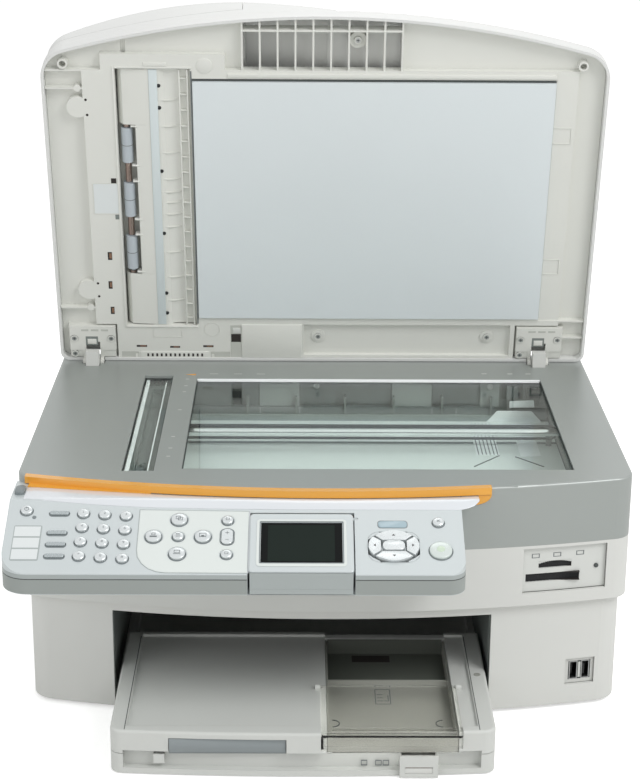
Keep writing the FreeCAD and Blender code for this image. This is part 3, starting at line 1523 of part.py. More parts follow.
def frame_knobs(under, face):
    """Raised round tabs, hollow below, with the boss rings of the two far corners."""
    solid = []
    hollow = []
    for i, y in enumerate((d.tab_rear, d.tab_front)):
        place = (-d.tab_x, y)
        solid.append(rod("frame_tab_" + str(i), "Z", d.tab_radius, under, face, place))
        hollow.append(rod("frame_tab_hollow_" + str(i), "Z", d.tab_radius - d.lid_wall, under - d.overrun,
                          face - d.lid_wall, place))
    for i, x in enumerate((-d.corner_boss_left, d.corner_boss_right)):
        place = (x, d.corner_boss_y)
        solid.append(rod("frame_boss_" + str(i), "Z", d.corner_boss_radius, under, face + d.corner_boss_rise, place))
        hollow.append(rod("frame_boss_bore_" + str(i), "Z", d.corner_boss_bore, -d.frame_floor, d.overrun, place))
    return solid, hollow


def frame_ribs(under, face):
    """Ribs that tie the raised part and the hinge pads to the rim of the lid."""
    rib = d.frame_rib
    left = (-d.lid_half, -d.raised_left + d.lid_wall)
    right = (d.raised_right - d.lid_wall, d.lid_half)
    solid = [box("frame_rib_corner", left, (d.raised_front - rib, d.raised_front), (under, face))]
    for i, y in enumerate((d.left_rib_rear, d.left_rib_front)):
        solid.append(box("frame_rib_left_" + str(i), left, (y - rib, y), (under, face)))
        solid.append(rod("frame_rib_knob_" + str(i), "Z", d.rib_knob, under, face, (-d.left_rib_end, y - rib / 2)))
    for i, y in enumerate((d.right_rib_rear, d.right_rib_front)):
        solid.append(box("frame_rib_right_" + str(i), right, (y - rib, y), (under, face)))
    return solid


def make_grip():
    """Ribbed finger hold in the middle of the lid's front edge."""
    face = -d.lid_rim - d.lid_frame_sunk
    low = -d.grip_depth
    width = d.grip_left + d.grip_right
    pieces = [box("grip_cross", (-d.grip_left, d.grip_right), (d.grip_cross, d.grip_cross + d.grip_rib), (low, face))]
    for i in range(SIZES["grip_cells"] + 1):
        x = -d.grip_left + width * i / SIZES["grip_cells"]
        pieces.append(box("grip_rib_" + str(i), (x - d.grip_rib / 2, x + d.grip_rib / 2),
                          (d.raised_front - d.grip_rib, d.lid_front), (low, face)))
    pieces.append(rod("grip_boss", "Z", d.grip_boss_radius, low, -d.grip_boss_level, (d.grip_boss_x, d.grip_boss_y)))
    limit = prism("grip_limit", "Z", -d.lid_thickness, d.overrun, *lid_outline(d.lid_wall + d.fit_gap))
    return common("grip_ribs", [fuse("grip_whole", pieces), limit])


def make_lid_frame():
    face = -d.lid_rim - d.lid_frame_sunk
    floor = -d.frame_floor
    under = floor - d.lid_wall
    below = (under - d.overrun, face - d.lid_wall)
    trough, well = well_walls()
    solid = [prism("raised", "Z", under, face, raised_outline(zero))]
    hollow = [prism("raised_hollow", "Z", below[0], below[1], raised_outline(d.lid_wall)), well]
    for side, x in (("left", -d.hinge_left), ("right", d.hinge_right)):
        reach = d.bracket_half + d.pocket_pad
        y = (d.bracket_rear + d.fit_gap, d.bracket_front + d.pocket_pad)
        solid.append(box("hinge_pad_" + side, (x - reach, x + reach), y, (under, face)))
        hollow.append(box("hinge_pad_hollow_" + side, (x - reach + d.lid_wall, x + reach - d.lid_wall),
                          (y[0] + d.lid_wall, y[1] - d.lid_wall), below))
        wide = d.leg_half + d.cheek_gap + d.cheek_width + d.move_gap * 2
        hollow.append(box("frame_hinge_" + side, (x - wide, x + wide), (-d.overrun, d.leg_window_front),
                          (below[0], d.overrun)))
    knobs, bores = frame_knobs(under, face)
    solid += knobs + frame_ribs(under, face)
    outline = lid_outline(d.lid_wall + d.fit_gap)
    plate = prism("frame_plate", "Z", under, floor, *outline)
    limit = prism("frame_limit", "Z", under, d.overrun, *outline)
    inside = common("frame_inside", [fuse("frame_solid", solid), limit])
    grip = box("grip_hole", (-d.grip_left, d.grip_right), (d.raised_front, d.lid_front + d.overrun),
               (below[0], d.overrun))
    opened = cut("frame_opened", fuse("frame_whole", [plate, inside]), hollow + bores + [grip])
    rear = d.lid_rear + d.lid_wall + d.fit_gap
    recess_low = -d.recess_floor
    tray = box("recess_tray", (-d.recess_left - d.lid_wall, d.recess_right + d.lid_wall),
               (rear, d.recess_front + d.lid_wall), (recess_low - d.lid_wall, face))
    recess = box("recess", (-d.recess_left, d.recess_right), (rear + d.lid_wall, d.recess_front),
                 (recess_low, d.overrun))
    pads = []
    for i, x in enumerate((-d.screw_first_x, d.screw_second_x)):
        pads.append(rod("screw_pad_" + str(i), "Z", d.screw_pad_radius, recess_low - d.lid_wall / 2,
                        recess_low + d.screw_pad_rise, (x, d.screw_row)))
    seat_right = -d.sheet_left + d.sheet_length + d.sheet_gap
    seat = box("sheet_seat", (-d.sheet_left - d.sheet_gap, seat_right),
               (d.sheet_rear - d.sheet_gap, d.sheet_rear + d.sheet_depth + d.sheet_front_gap),
               (face - d.sheet_seat, d.overrun))
    ledge = box("frame_ledge", (seat_right, d.raised_right + d.overrun), (d.right_rib_front, d.raised_front),
                (face - d.ledge_drop, d.overrun))
    bore = rod("well_bore", "Y", d.roller_shaft + d.bearing_gap, d.well_rear - d.overrun,
               d.well_front + d.overrun, (-d.roller_x, -d.roller_depth))
    shaped = cut("frame_shaped", fuse("frame_filled", [opened, trough, tray, make_grip()]), [recess, seat, ledge, bore])
    keep("lid_frame", fuse("lid_frame", [shaped] + pads), lid_place)


def make_backing_sheet():
    high = -d.lid_rim - d.lid_frame_sunk
    keep("backing_sheet", slab("backing_sheet", (-d.sheet_left, -d.sheet_left + d.sheet_length),
                               (d.sheet_rear, d.sheet_rear + d.sheet_depth),
                               (high - d.sheet_seat, high + d.sheet_proud)),
         lid_place)


def make_feeder_inside():
    rear = d.well_rear
    front = d.well_front
    deep = -d.well_depth
    bar = rod("guide_bar", "Y", d.guide_radius, rear, front, (-d.guide_x, deep))
    upper = box("guide_upper", (-d.guide_x - d.guide_radius, -d.guide_x + d.guide_radius), (rear, front),
                (deep, deep + d.guide_radius - d.guide_flat / 2))
    keep("feeder_guide", common("feeder_guide", [bar, upper]), lid_place)
    centre = (-d.roller_x, -d.roller_depth)
    pieces = [rod("feed_shaft", "Y", d.roller_shaft, rear - d.cover_wall, front + d.cover_wall, centre)]
    for i in range(3):
        start = d.roller_first + d.roller_pitch * i
        pieces.append(rod("feed_tyre_" + str(i), "Y", d.roller_radius, start, start + d.roller_length, centre))
    keep("feeder_rollers", fuse("feeder_rollers", pieces), lid_place)


def bracket_screws(x):
    """Places of the two screws that are sunk in a bracket's plate."""
    edge = d.bracket_half - d.screw_head - d.lid_rim
    middle = (d.bracket_rear + d.bracket_front) / 2
    return [(x - edge, middle), (x + edge, middle)]


def make_hinges():
    brackets = []
    legs = []
    for side, x in (("left", -d.hinge_left), ("right", d.hinge_right)):
        high = -d.lid_rim - d.lid_frame_sunk + d.bracket_thickness / 2
        low = -d.lid_rim - d.lid_frame_sunk
        plate = box("bracket_plate_" + side, (x - d.bracket_half, x + d.bracket_half),
                    (d.bracket_rear, d.bracket_front), (low, high))
        flange = box("bracket_flange_" + side, (x - d.bracket_half, x + d.bracket_half),
                     (d.flange_rear, d.bracket_rear), (-d.flange_low, -d.flange_high))
        window = box("bracket_window_" + side, (x - d.leg_half - d.cheek_gap, x + d.leg_half + d.cheek_gap),
                     (-d.overrun, d.leg_window_front), (-d.lid_thickness, d.overrun))
        cheeks = []
        for j, start in enumerate((x - d.leg_half - d.cheek_gap - d.cheek_width, x + d.leg_half + d.cheek_gap)):
            end = start + d.cheek_width
            name = side + "_" + str(j)
            cheeks.append(box("cheek_" + name, (start, end), (zero, d.leg_window_front - d.move_gap),
                              (-d.knuckle_radius, high)))
            cheeks.append(rod("cheek_nose_" + name, "X", d.knuckle_radius, start, end, (zero, zero)))
        reach = d.leg_half + d.cheek_gap + d.cheek_width
        pin = rod("hinge_pin_" + side, "X", d.pin_radius, x - reach, x + reach, (zero, zero))
        sinks = []
        for j, (hole_x, hole_y) in enumerate(bracket_screws(x)):
            sinks.append(rod("bracket_sink_" + side + "_" + str(j), "Z", d.screw_head + d.fit_gap,
                             high - d.screw_sink, high + d.overrun, (hole_x, hole_y)))
        body = cut("bracket_body_" + side, fuse("bracket_whole_" + side, [plate, flange] + cheeks),
                   [window] + sinks)
        brackets.append(fuse("bracket_" + side, [body, pin]))
        leg_x = (x - d.leg_half, x + d.leg_half)
        post = box("leg_post_" + side, leg_x, (d.leg_front, d.leg_post_back), (d.leg_low, d.leg_top))
        foot = box("leg_foot_" + side, leg_x, (d.leg_front, d.leg_back), (d.leg_low, d.deck_top))
        knuckle = rod("leg_knuckle_" + side, "X", d.knuckle_radius, leg_x[0], leg_x[1], (d.hinge_y, d.deck_top))
        bore = rod("leg_bore_" + side, "X", d.pin_radius + d.bearing_gap, leg_x[0] - d.overrun,
                   leg_x[1] + d.overrun, (d.hinge_y, d.deck_top))
        shoulder = box("leg_shoulder_" + side, (leg_x[0] - d.overrun, leg_x[1] + d.overrun),
                       (d.leg_post_back, d.leg_back + d.overrun),
                       (d.deck_top - d.knuckle_radius, d.deck_top + d.overrun))
        bridge = box("leg_bridge_" + side, leg_x, (d.leg_front, d.hinge_y),
                     (d.deck_top - d.knuckle_radius, d.deck_top + d.knuckle_radius))
        lower = fuse("leg_lower_" + side, [post, cut("leg_cut_" + side, foot, [shoulder]), knuckle, bridge])
        legs.append(cut("leg_" + side, lower, [bore]))
    keep("hinge_brackets", fuse("hinge_brackets", brackets), lid_place)
    keep("hinge_legs", fuse("hinge_legs", legs))


def make_screws():
    """Screws in the lid's inner face: three in the frame and three in each hinge bracket."""
    face = -d.lid_rim - d.lid_frame_sunk
    bracket_face = face + d.bracket_thickness / 2
    pad_face = -d.recess_floor + d.screw_pad_rise
    places = [
        (-d.screw_first_x, d.screw_row, pad_face),
        (d.screw_second_x, d.screw_row, pad_face),
        (d.grip_boss_x, d.grip_boss_y, -d.grip_boss_level),
    ]
    for x in (-d.hinge_left, d.hinge_right):
        sunk = bracket_screws(x)
        for hole_x, hole_y in sunk:
            places.append((hole_x, hole_y, bracket_face - d.screw_sink))
        places.append((sunk[0][0], d.flange_screw_y, -d.flange_high))
    heads = []
    for i, (x, y, level) in enumerate(places):
        head = rod("screw_head_" + str(i), "Z", d.screw_head, level, level + d.screw_head_height, (x, y))
        heads.append(head)
    keep("lid_screws", fuse("lid_screws", heads), lid_place)


# Trays

def tray_outline(inset, back):
    """Plan of the two trays, moved in by an inset."""
    inset = as_size(inset)
    half = (d.tray_left + d.tray_right) / 2
    return bowed(half - inset, back, d.tray_apex - inset, d.tray_bow_radius, d.tray_round - inset,
                 as_size(d.move_gap), centre=(d.tray_right - d.tray_left) / 2)


def pull_groove(name, z):
    """Finger groove along the tray's front, which follows its bow."""
    block = box(name + "_block", (-d.pull_left, d.pull_right), (-d.tray_apex - d.overrun, -d.latch_tail_back), z)
    behind = prism(name + "_behind", "Z", z[0] - d.overrun, as_size(z[1]) + d.overrun,
                   *tray_outline(d.pull_depth, -d.out_back))
    return cut(name, block, [behind])


def make_paper_tray():
    back = d.tray_back
    outer = prism("tray_outer", "Z", d.tray_low, d.tray_high, *tray_outline(0.0, back))
    inner = prism("tray_inner", "Z", d.tray_low + d.wall, d.tray_high + d.overrun,
                  *tray_outline(d.wall, back - d.wall))
    step = box("tray_step", (-d.tray_left - d.overrun, d.tray_right + d.overrun), (-d.tray_step_y, back + d.overrun),
               (d.tray_step_high, d.tray_high + d.overrun))
    tail_inset = d.latch_tail_inset - d.move_gap
    slot = box("tray_slot", (d.latch_left + tail_inset, d.latch_right - tail_inset),
               (-d.tray_apex - d.overrun, -d.tray_apex + d.tray_round + d.wall),
               (d.latch_tail_low - d.move_gap, d.tray_high + d.overrun))
    groove_x = (-d.pull_left, d.pull_right)
    groove = pull_groove("tray_groove", (d.pull_low, d.tray_high + d.overrun))
    band = cut("tray_band", prism("tray_band_outer", "Z", d.tray_low, d.tray_high, *tray_outline(d.wall / 2, back)),
               [prism("tray_band_inner", "Z", d.tray_low - d.overrun, d.tray_high + d.overrun,
                      *tray_outline(d.pull_depth + d.wall, back + d.overrun))])
    limit = box("tray_band_limit", (groove_x[0] - d.wall, groove_x[1] + d.wall),
                (-d.tray_apex - d.overrun, -d.latch_tail_back), (d.tray_low + d.wall / 2, d.tray_high))
    filler = common("tray_filler", [band, limit])
    walled = fuse("tray_walled", [cut("tray_hollowed", outer, [inner]), filler])
    shell = cut("tray_shell", walled, [step, slot, groove])
    lip = (d.tray_lip_low, d.tray_lip_low + d.tray_lip_height / 2)
    run = (-d.guide_front, back - d.tray_round)
    left_out = -d.opening_left + d.move_gap
    right_out = d.opening_right - d.move_gap
    stop = box("pull_stop", (-d.pull_stop_left, -d.pull_stop_right),
               (-d.tray_apex + d.pull_stop_inset + d.pull_depth / 2, -d.tray_apex + d.pull_depth * 2),
               (d.pull_stop_low, d.tray_high))
    pieces = [
        stop,
        box("tray_lip_left", (left_out, -d.tray_left + d.wall / 2), run, lip),
        box("tray_lip_right", (d.tray_right - d.wall / 2, right_out), run, lip),
    ]
    floor = d.tray_low + d.wall
    for side, low in (("left", -d.tray_left + d.wall + d.ear_inset),
                      ("right", d.tray_right - d.wall - d.ear_inset - d.ear_width)):
        x = (low, low + d.ear_width)
        post = box("ear_post_" + side, x, (-d.pivot_y - d.ear_radius, -d.pivot_y + d.ear_radius),
                   (floor - d.wall / 2, d.pivot_level))
        head = rod("ear_head_" + side, "X", d.ear_radius, x[0], x[1], (-d.pivot_y, d.pivot_level))
        pieces.append(post)
        pieces.append(head)
    bore = rod("ear_bore", "X", d.pivot_radius + d.bearing_gap, -d.tray_left - d.overrun, d.tray_right + d.overrun,
               (-d.pivot_y, d.pivot_level))
    keep("paper_tray", cut("paper_tray", fuse("tray_whole", [shell] + pieces), [bore]))


def make_output_tray():
    back = -d.out_back
    outer = prism("out_outer", "Z", d.out_low, d.out_rim, *tray_outline(0.0, back))
    softened = soften("out_soft", outer, "z", d.out_rim, d.edge_round)
    under = d.out_plate - d.wall
    hollow = prism("out_hollow", "Z", d.out_low - d.overrun, under, *tray_outline(d.wall, back - d.wall))
    left = -d.tray_left + d.rim_left
    right = d.tray_right - d.rim_right
    dish = box("out_dish", (left, right), (-d.tray_apex + d.rim_front * 2, back + d.overrun),
               (d.out_plate, d.out_rim + d.overrun))
    photo = box("out_photo_window", (d.photo_left, d.photo_right),
                (-d.tray_apex - d.overrun, -d.photo_back - d.wall * 3), (d.photo_floor, d.out_rim + d.overrun))
    tunnel = box("out_photo_tunnel", (d.photo_left, d.photo_right), (-d.tray_apex, back + d.overrun),
                 (d.out_low - d.overrun, d.photo_high + d.move_gap))
    cover_seat = box("out_cover_seat", (-d.cover_left - d.move_gap, d.cover_right + d.move_gap),
                     (-d.tray_apex - d.overrun, -d.cover_back - d.move_gap), (d.out_plate, d.out_rim + d.overrun))
    nose = box("out_nose", (-d.cover_left - d.move_gap, d.cover_right + d.move_gap),
               (-d.tray_apex - d.overrun, -d.tray_apex + d.wall * 2), (d.cover_low - d.move_gap, d.out_rim + d.overrun))
    mouth = box("out_mouth", (-d.slide_left - d.move_gap, -d.slide_right + d.move_gap),
                (-d.tray_apex - d.overrun, -d.tray_apex + d.tray_round), (d.out_low - d.overrun, under))
    groove = pull_groove("out_groove", (d.out_low - d.overrun, d.pull_high))
    ridge = (-d.out_back - d.out_ridge, -d.out_back)
    ridge_z = (d.out_plate - d.wall / 2, d.out_ridge_high)
    shell = cut("out_shell", softened, [hollow, dish, photo, tunnel, cover_seat, nose, mouth, groove])
    pieces = [
        box("out_ridge_left", (left - d.wall / 2, d.photo_left), ridge, ridge_z),
        box("out_ridge_right", (d.photo_right, right + d.wall / 2), ridge, ridge_z),
    ]
    rail_y = (-d.slide_front + d.slide_lip + d.wall * 2, -d.slide_back + d.overrun / 2)
    for side, inner_x, sign in (("left", -d.slide_left - d.move_gap, -1), ("right", -d.slide_right + d.move_gap, 1)):
        outer_x = inner_x + d.slide_rail * sign
        ledge_x = inner_x - d.slide_ledge * sign
        wall_x = (outer_x, inner_x) if sign < 0 else (inner_x, outer_x)
        ledge = (outer_x, ledge_x) if sign < 0 else (ledge_x, outer_x)
        pieces.append(box("slide_rail_" + side, wall_x, rail_y, (d.slide_lip_low, under)))
        pieces.append(box("slide_ledge_" + side, ledge, rail_y,
                          (d.slide_plate_low - d.move_gap - d.frame_sheet, d.slide_plate_low - d.move_gap)))
    for side, x in (("left", (d.photo_left - d.wall, d.photo_left)), ("right", (d.photo_right, d.photo_right + d.wall))):
        y = (-d.photo_front, -d.photo_back - d.wall * 3)
        pieces.append(box("photo_rail_" + side, x, y, (d.out_low, under)))
        foot = (x[0], x[1] + d.slide_ledge) if side == "left" else (x[0] - d.slide_ledge, x[1])
        pieces.append(box("photo_ledge_" + side, foot, y, (d.out_low, d.photo_floor - d.move_gap)))
    axis_y = -d.cover_back + d.cover_lug_radius
    axis_z = d.out_plate + d.move_gap + d.cover_axis
    bores = []
    for side, start in (("left", -d.cover_left - d.move_gap - d.cover_lug), ("right", d.cover_right + d.move_gap)):
        pieces.append(box("cover_lug_block_" + side, (start, start + d.cover_lug),
                          (axis_y - d.cover_lug_radius, axis_y + d.cover_lug_radius), (under, axis_z)))
        pieces.append(rod("cover_lug_head_" + side, "X", d.cover_lug_radius, start, start + d.cover_lug,
                          (axis_y, axis_z)))
        bores.append(rod("cover_axis_bore_" + side, "X", d.cover_axis + d.bearing_gap, start,
                         start + d.cover_lug, (axis_y, axis_z)))
    whole = cut("out_bored", fuse("out_whole", [shell] + pieces), bores)
    pins = []
    reach = d.wall + d.ear_inset + d.ear_width + d.move_gap
    for side, x in (("left", (-d.tray_left + d.wall / 2, -d.tray_left + reach)),
                    ("right", (d.tray_right - reach, d.tray_right - d.wall / 2))):
        pins.append(rod("out_pin_" + side, "X", d.pivot_radius, x[0], x[1], (-d.pivot_y, d.pivot_level)))
    keep("output_tray", fuse("output_tray", [whole] + pins))


def make_tray_slide():
    x = (-d.slide_left, -d.slide_right)
    plate = box("slide_plate", x, (-d.slide_front, -d.slide_back),
                (d.slide_plate_low, d.slide_plate_low + d.slide_plate))
    lip = box("slide_lip", x, (-d.slide_front, -d.slide_front + d.slide_lip), (d.slide_lip_low, d.slide_lip_high - d.move_gap * 4))
    keep("tray_extension", fuse("tray_extension", [plate, lip]))


def make_photo_tray():
    gap = d.move_gap
    x = (d.photo_left + gap, d.photo_right - gap)
    y = (-d.photo_front + gap, -d.photo_back - d.wall * 3)
    outer = box("photo_outer", x, y, (d.photo_floor, d.photo_high))
    inner = box("photo_inner", (x[0] + d.photo_wall, x[1] - d.photo_wall), (y[0] + d.photo_wall, y[1] - d.photo_wall),
                (d.photo_floor + d.photo_wall, d.photo_high + d.overrun))
    fence = box("photo_fence", x, (-d.photo_fence_y, -d.photo_fence_y + d.photo_wall),
                (d.photo_floor, d.photo_high - d.photo_wall * 2))
    keep("photo_tray", fuse("photo_tray", [cut("photo_shell", outer, [inner]), fence]))


def make_photo_cover():
    low = d.out_plate + d.move_gap
    high = low + d.cover_sheet
    axis_y = -d.cover_back + d.cover_lug_radius
    axis_z = low + d.cover_axis
    x = (-d.cover_left, d.cover_right)
    corner = d.tray_round / 3
    plan = rounded(x, (-d.cover_front, axis_y), corner)
    plate = prism("cover_plate", "Z", low, high, *plan)
    apron = box("cover_apron", (x[0] + corner, x[1] - corner), (-d.cover_front, -d.cover_front + d.cover_sheet),
                (d.cover_low, high))
    pin = rod("cover_axis", "X", d.cover_axis, x[0] - d.cover_lug, x[1] + d.cover_lug, (axis_y, axis_z))
    keep("photo_cover", fuse("photo_cover", [plate, apron, pin]))


def make_length_guide():
    face = -d.tray_apex - d.move_gap
    x = (d.latch_left, d.latch_right)
    inset = d.latch_tail_inset
    plate = box("latch_plate", x, (face - d.latch_plate, face), (d.latch_low, d.latch_high))
    tail = box("latch_tail", (x[0] + inset, x[1] - inset), (face, -d.latch_tail_back),
               (d.latch_tail_low, d.latch_tail_high))
    grip = box("latch_grip", (x[0] + inset * 2, x[1] - inset * 2),
               (face - d.latch_plate - d.overrun, face - d.latch_plate + d.latch_slot_depth),
               (d.latch_slot_low, d.latch_slot_high))
    fence = box("latch_fence", (x[0] - inset * 3, x[1] + inset * 3),
                (-d.latch_tail_back - d.wall, -d.latch_tail_back), (d.latch_tail_low, d.tray_high - d.wall))
    keep("length_guide", cut("length_guide", fuse("latch_whole", [plate, tail, fence]), [grip]))


def build():
    """Make every piece, in the order in which the machine goes together."""
    make_feet()
    make_base_pan()
    make_lower_housing()
    make_upper_housing()
    make_scanner_deck(make_trim())
    make_glasses()
    make_scanner_pan()
    make_scan_drive()
    make_paper_guide_frame()
    make_print_frame()
    make_print_carriage()
    make_roller("feed_roller", d.feed_y, d.feed_level, d.feed_radius)
    make_roller("exit_roller", -d.exit_y, d.exit_level, d.exit_radius)
    make_circuit_board()
    make_card_reader()
    make_usb_ports()
    make_number_keys()
    make_bars()
    make_round_buttons()
    make_zoom_rocker()
    make_arrows()
    make_lcd()
    make_panel_housing()
    make_lid_shell()
    make_lid_frame()
    make_backing_sheet()
    make_feeder_cover()
    make_feeder_inside()
    make_hinges()
    make_screws()
    make_paper_tray()
    make_output_tray()
    make_tray_slide()
    make_photo_tray()
    make_photo_cover()
    make_length_guide()


def check():
    """Stop if an object failed or a piece isn't a sound solid."""
    for item in doc.Objects:
        for state in ("Invalid", "Error"):
            if state in item.State:
                raise ValueError(item.Name + " is " + state)
    for name, item in nodes.items():
        shape = item.Shape
        if shape.isNull() or not shape.isValid() or not shape.Solids:
            raise ValueError(name + " has no sound solid")


def write():
    """Write one file for each piece."""
    os.makedirs("parts", exist_ok=True)
    for name, item in nodes.items():
        item.Shape.exportStep("parts/" + name + ".step")
        print(name, len(item.Shape.Solids), "solids", round(item.Shape.Volume), "mm3")


build()
doc.recompute()
check()
write()
print(len(nodes), "pieces")
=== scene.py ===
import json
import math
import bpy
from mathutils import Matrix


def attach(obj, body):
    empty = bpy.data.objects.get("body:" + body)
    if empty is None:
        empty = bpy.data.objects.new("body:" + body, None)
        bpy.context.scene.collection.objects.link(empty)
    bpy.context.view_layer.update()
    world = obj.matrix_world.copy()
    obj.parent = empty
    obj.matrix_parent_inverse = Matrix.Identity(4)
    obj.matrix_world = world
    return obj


bl_info = {
    "name": "Multifunction printer looks",
    "version": (1, 0, 0),
    "blender": (4, 5, 0),
    "location": "View3D > Sidebar > Printer",
    "description": "Dresses the packed printer with its finishes and fine pieces",
    "category": "Object",
}

import bmesh
import bpy
from mathutils import Matrix, Vector
from mathutils.geometry import tessellate_polygon

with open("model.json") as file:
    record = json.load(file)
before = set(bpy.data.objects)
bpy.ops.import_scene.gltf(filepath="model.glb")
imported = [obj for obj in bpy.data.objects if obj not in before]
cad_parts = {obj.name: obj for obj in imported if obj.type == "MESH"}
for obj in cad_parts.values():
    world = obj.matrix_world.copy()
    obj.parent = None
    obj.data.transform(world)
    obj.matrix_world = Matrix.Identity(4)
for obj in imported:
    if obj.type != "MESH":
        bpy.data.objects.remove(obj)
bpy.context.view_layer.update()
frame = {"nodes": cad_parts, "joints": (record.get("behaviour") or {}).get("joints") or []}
MM = 0.001
# Edges sharper than this stay sharp in the shading
SHARP_ANGLE = math.radians(35)


def joint(name):
    """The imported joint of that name."""
    return [item for item in frame["joints"] if item["name"] == name][0]


def tilted(origin, along):
    """Frame at a point whose Y axis lies along a direction in the YZ plane."""
    angle = math.atan2(along[2], along[1])
    return Matrix.Translation(origin) @ Matrix.Rotation(angle, 4, "X")


# Frames in which pieces are drawn: the lid, the panel, the world and its upright planes
LID = tilted(joint("lid_hinge")["pos_m"], joint("feeder_roller_spin")["axis"])
PRESS = joint("start_button_press")["axis"]
PANEL_CREASE = (0.0, -0.171, 0.1845)
PANEL = tilted(PANEL_CREASE, (0.0, -PRESS[2], PRESS[1]))
ROW = Matrix.Identity(4)
SIDEWAYS = Matrix(((0, 0, 1, 0), (1, 0, 0, 0), (0, 1, 0, 0), (0, 0, 0, 1)))
UPRIGHT = Matrix.Rotation(math.radians(90), 4, "X")


class FinishSettings(bpy.types.PropertyGroup):
    """Colours of the finishes, as sRGB hex values."""

    housing: bpy.props.StringProperty(name="Housing", description="Moulded white ABS of the casing",
        default="#D5D6D2")
    lid_inside: bpy.props.StringProperty(name="Lid inside", description="Moulded ABS inside the lid",
        default="#DFE0DA")
    deck: bpy.props.StringProperty(name="Deck", description="Silver-grey paint of the scanner deck",
        default="#A1A6A3")
    panel: bpy.props.StringProperty(name="Panel", description="Light silver paint of the control panel",
        default="#CAD1D2")
    trim: bpy.props.StringProperty(name="Trim", description="Orange strip along the deck", default="#EBA83B")
    sheet: bpy.props.StringProperty(name="Backing sheet", description="Smooth white backing sheet",
        default="#DEE5E7")
    smoked: bpy.props.StringProperty(name="Smoked cover", description="See-through cover of the photo tray",
        default="#FCFCFA")


class SizeSettings(bpy.types.PropertyGroup):
    """Sizes of the fine pieces."""

    numeral: bpy.props.FloatProperty(name="Numeral", description="Height of the numerals on the keys",
        default=3.2 * MM, unit="LENGTH")
    light: bpy.props.FloatProperty(name="Key light", description="Power of the main lamp in watts",
        default=24.0, subtype="POWER")
    fill: bpy.props.FloatProperty(name="Fill light", description="Power of the fill lamp in watts",
        default=6.2, subtype="POWER")
    rear: bpy.props.FloatProperty(name="Rear light", description="Power of the lamp behind the lid in watts",
        default=5.0, subtype="POWER")


# Finishes

# Size of the slow drift of tone in plastics and of the waves in clear ones
DRIFT_MM = 90
WAVE_MM = 60


def linear(text):
    """Linear colour from an sRGB hex value."""
    values = [int(text[i:i + 2], 16) / 255 for i in (1, 3, 5)]
    return [v / 12.92 if v <= 0.04045 else ((v + 0.055) / 1.055) ** 2.4 for v in values] + [1.0]


def shade(colour, factor):
    """Darker or lighter version of a linear colour."""
    return [min(1.0, channel * factor) for channel in colour[:3]] + [1.0]


def add_node(material, kind, values=(), links=(), **settings):
    """Add a node with its settings, socket values and incoming links."""
    node = material.node_tree.nodes.new(kind)
    for name, value in settings.items():
        setattr(node, name, value)
    for socket, value in values:
        node.inputs[socket].default_value = value
    for socket, source in links:
        material.node_tree.links.new(source, node.inputs[socket])
    return node


def empty_material(name):
    """Node material with nothing in it."""
    material = bpy.data.materials.new(name)
    material.use_nodes = True
    material.node_tree.nodes.clear()
    return material


def plastic(name, text, roughness, grain_mm, relief, drift=0.03, edge_mm=0.5, metallic=0.0, coat=0.0, ior=1.5):
    """Moulded or painted plastic: fine spark texture, slow drift of tone, softened edges."""
    material = empty_material(name)
    colour = linear(text)
    place = add_node(material, "ShaderNodeTexCoord")
    slow = add_node(material, "ShaderNodeTexNoise", [("Scale", 1 / (DRIFT_MM * MM)), ("Detail", 3.0)],
        [("Vector", place.outputs["Object"])])
    tone = add_node(material, "ShaderNodeMix", links=[(0, slow.outputs["Fac"])], data_type="RGBA")
    tone.inputs[6].default_value = shade(colour, 1 - drift)
    tone.inputs[7].default_value = shade(colour, 1 + drift)
    grain = add_node(material, "ShaderNodeTexNoise", [("Scale", 1 / (grain_mm * MM)), ("Detail", 2.0)],
        [("Vector", place.outputs["Object"])])
    gloss = add_node(material, "ShaderNodeMapRange",
        [("To Min", roughness - 0.05), ("To Max", roughness + 0.06)], [("Value", grain.outputs["Fac"])])
    edge = add_node(material, "ShaderNodeBevel", [("Radius", edge_mm * MM)], samples=4)
    bump = add_node(material, "ShaderNodeBump", [("Strength", relief), ("Distance", 0.05 * MM)],
        [("Height", grain.outputs["Fac"]), ("Normal", edge.outputs["Normal"])])
    shader = add_node(material, "ShaderNodeBsdfPrincipled", [("Metallic", metallic), ("Coat Weight", coat),
        ("Coat Roughness", 0.08), ("IOR", ior)], [("Base Color", tone.outputs[2]),
        ("Roughness", gloss.outputs["Result"]), ("Normal", bump.outputs["Normal"])])
    add_node(material, "ShaderNodeOutputMaterial", links=[("Surface", shader.outputs["BSDF"])])
    material.diffuse_color = colour
    return material


def see_through(name, text, roughness, ior):
    """Clear glass or tinted plastic; lamps reach through it so that what lies behind stays lit."""
    material = empty_material(name)
    place = add_node(material, "ShaderNodeTexCoord")
    wave = add_node(material, "ShaderNodeTexNoise", [("Scale", 1 / (WAVE_MM * MM)), ("Detail", 1.0)],
        [("Vector", place.outputs["Object"])])
    gloss = add_node(material, "ShaderNodeMapRange", [("To Min", roughness), ("To Max", roughness + 0.005)],
        [("Value", wave.outputs["Fac"])])
    shader = add_node(material, "ShaderNodeBsdfPrincipled",
        [("Base Color", linear(text)), ("Transmission Weight", 1.0), ("IOR", ior)],
        [("Roughness", gloss.outputs["Result"])])
    clear = add_node(material, "ShaderNodeBsdfTransparent", [("Color", shade(linear(text), 0.95))])
    path = add_node(material, "ShaderNodeLightPath")
    mix = add_node(material, "ShaderNodeMixShader", links=[(0, path.outputs["Is Shadow Ray"]),
        (1, shader.outputs["BSDF"]), (2, clear.outputs["BSDF"])])
    add_node(material, "ShaderNodeOutputMaterial", links=[("Surface", mix.outputs["Shader"])])
    material.diffuse_color = linear(text)
    return material


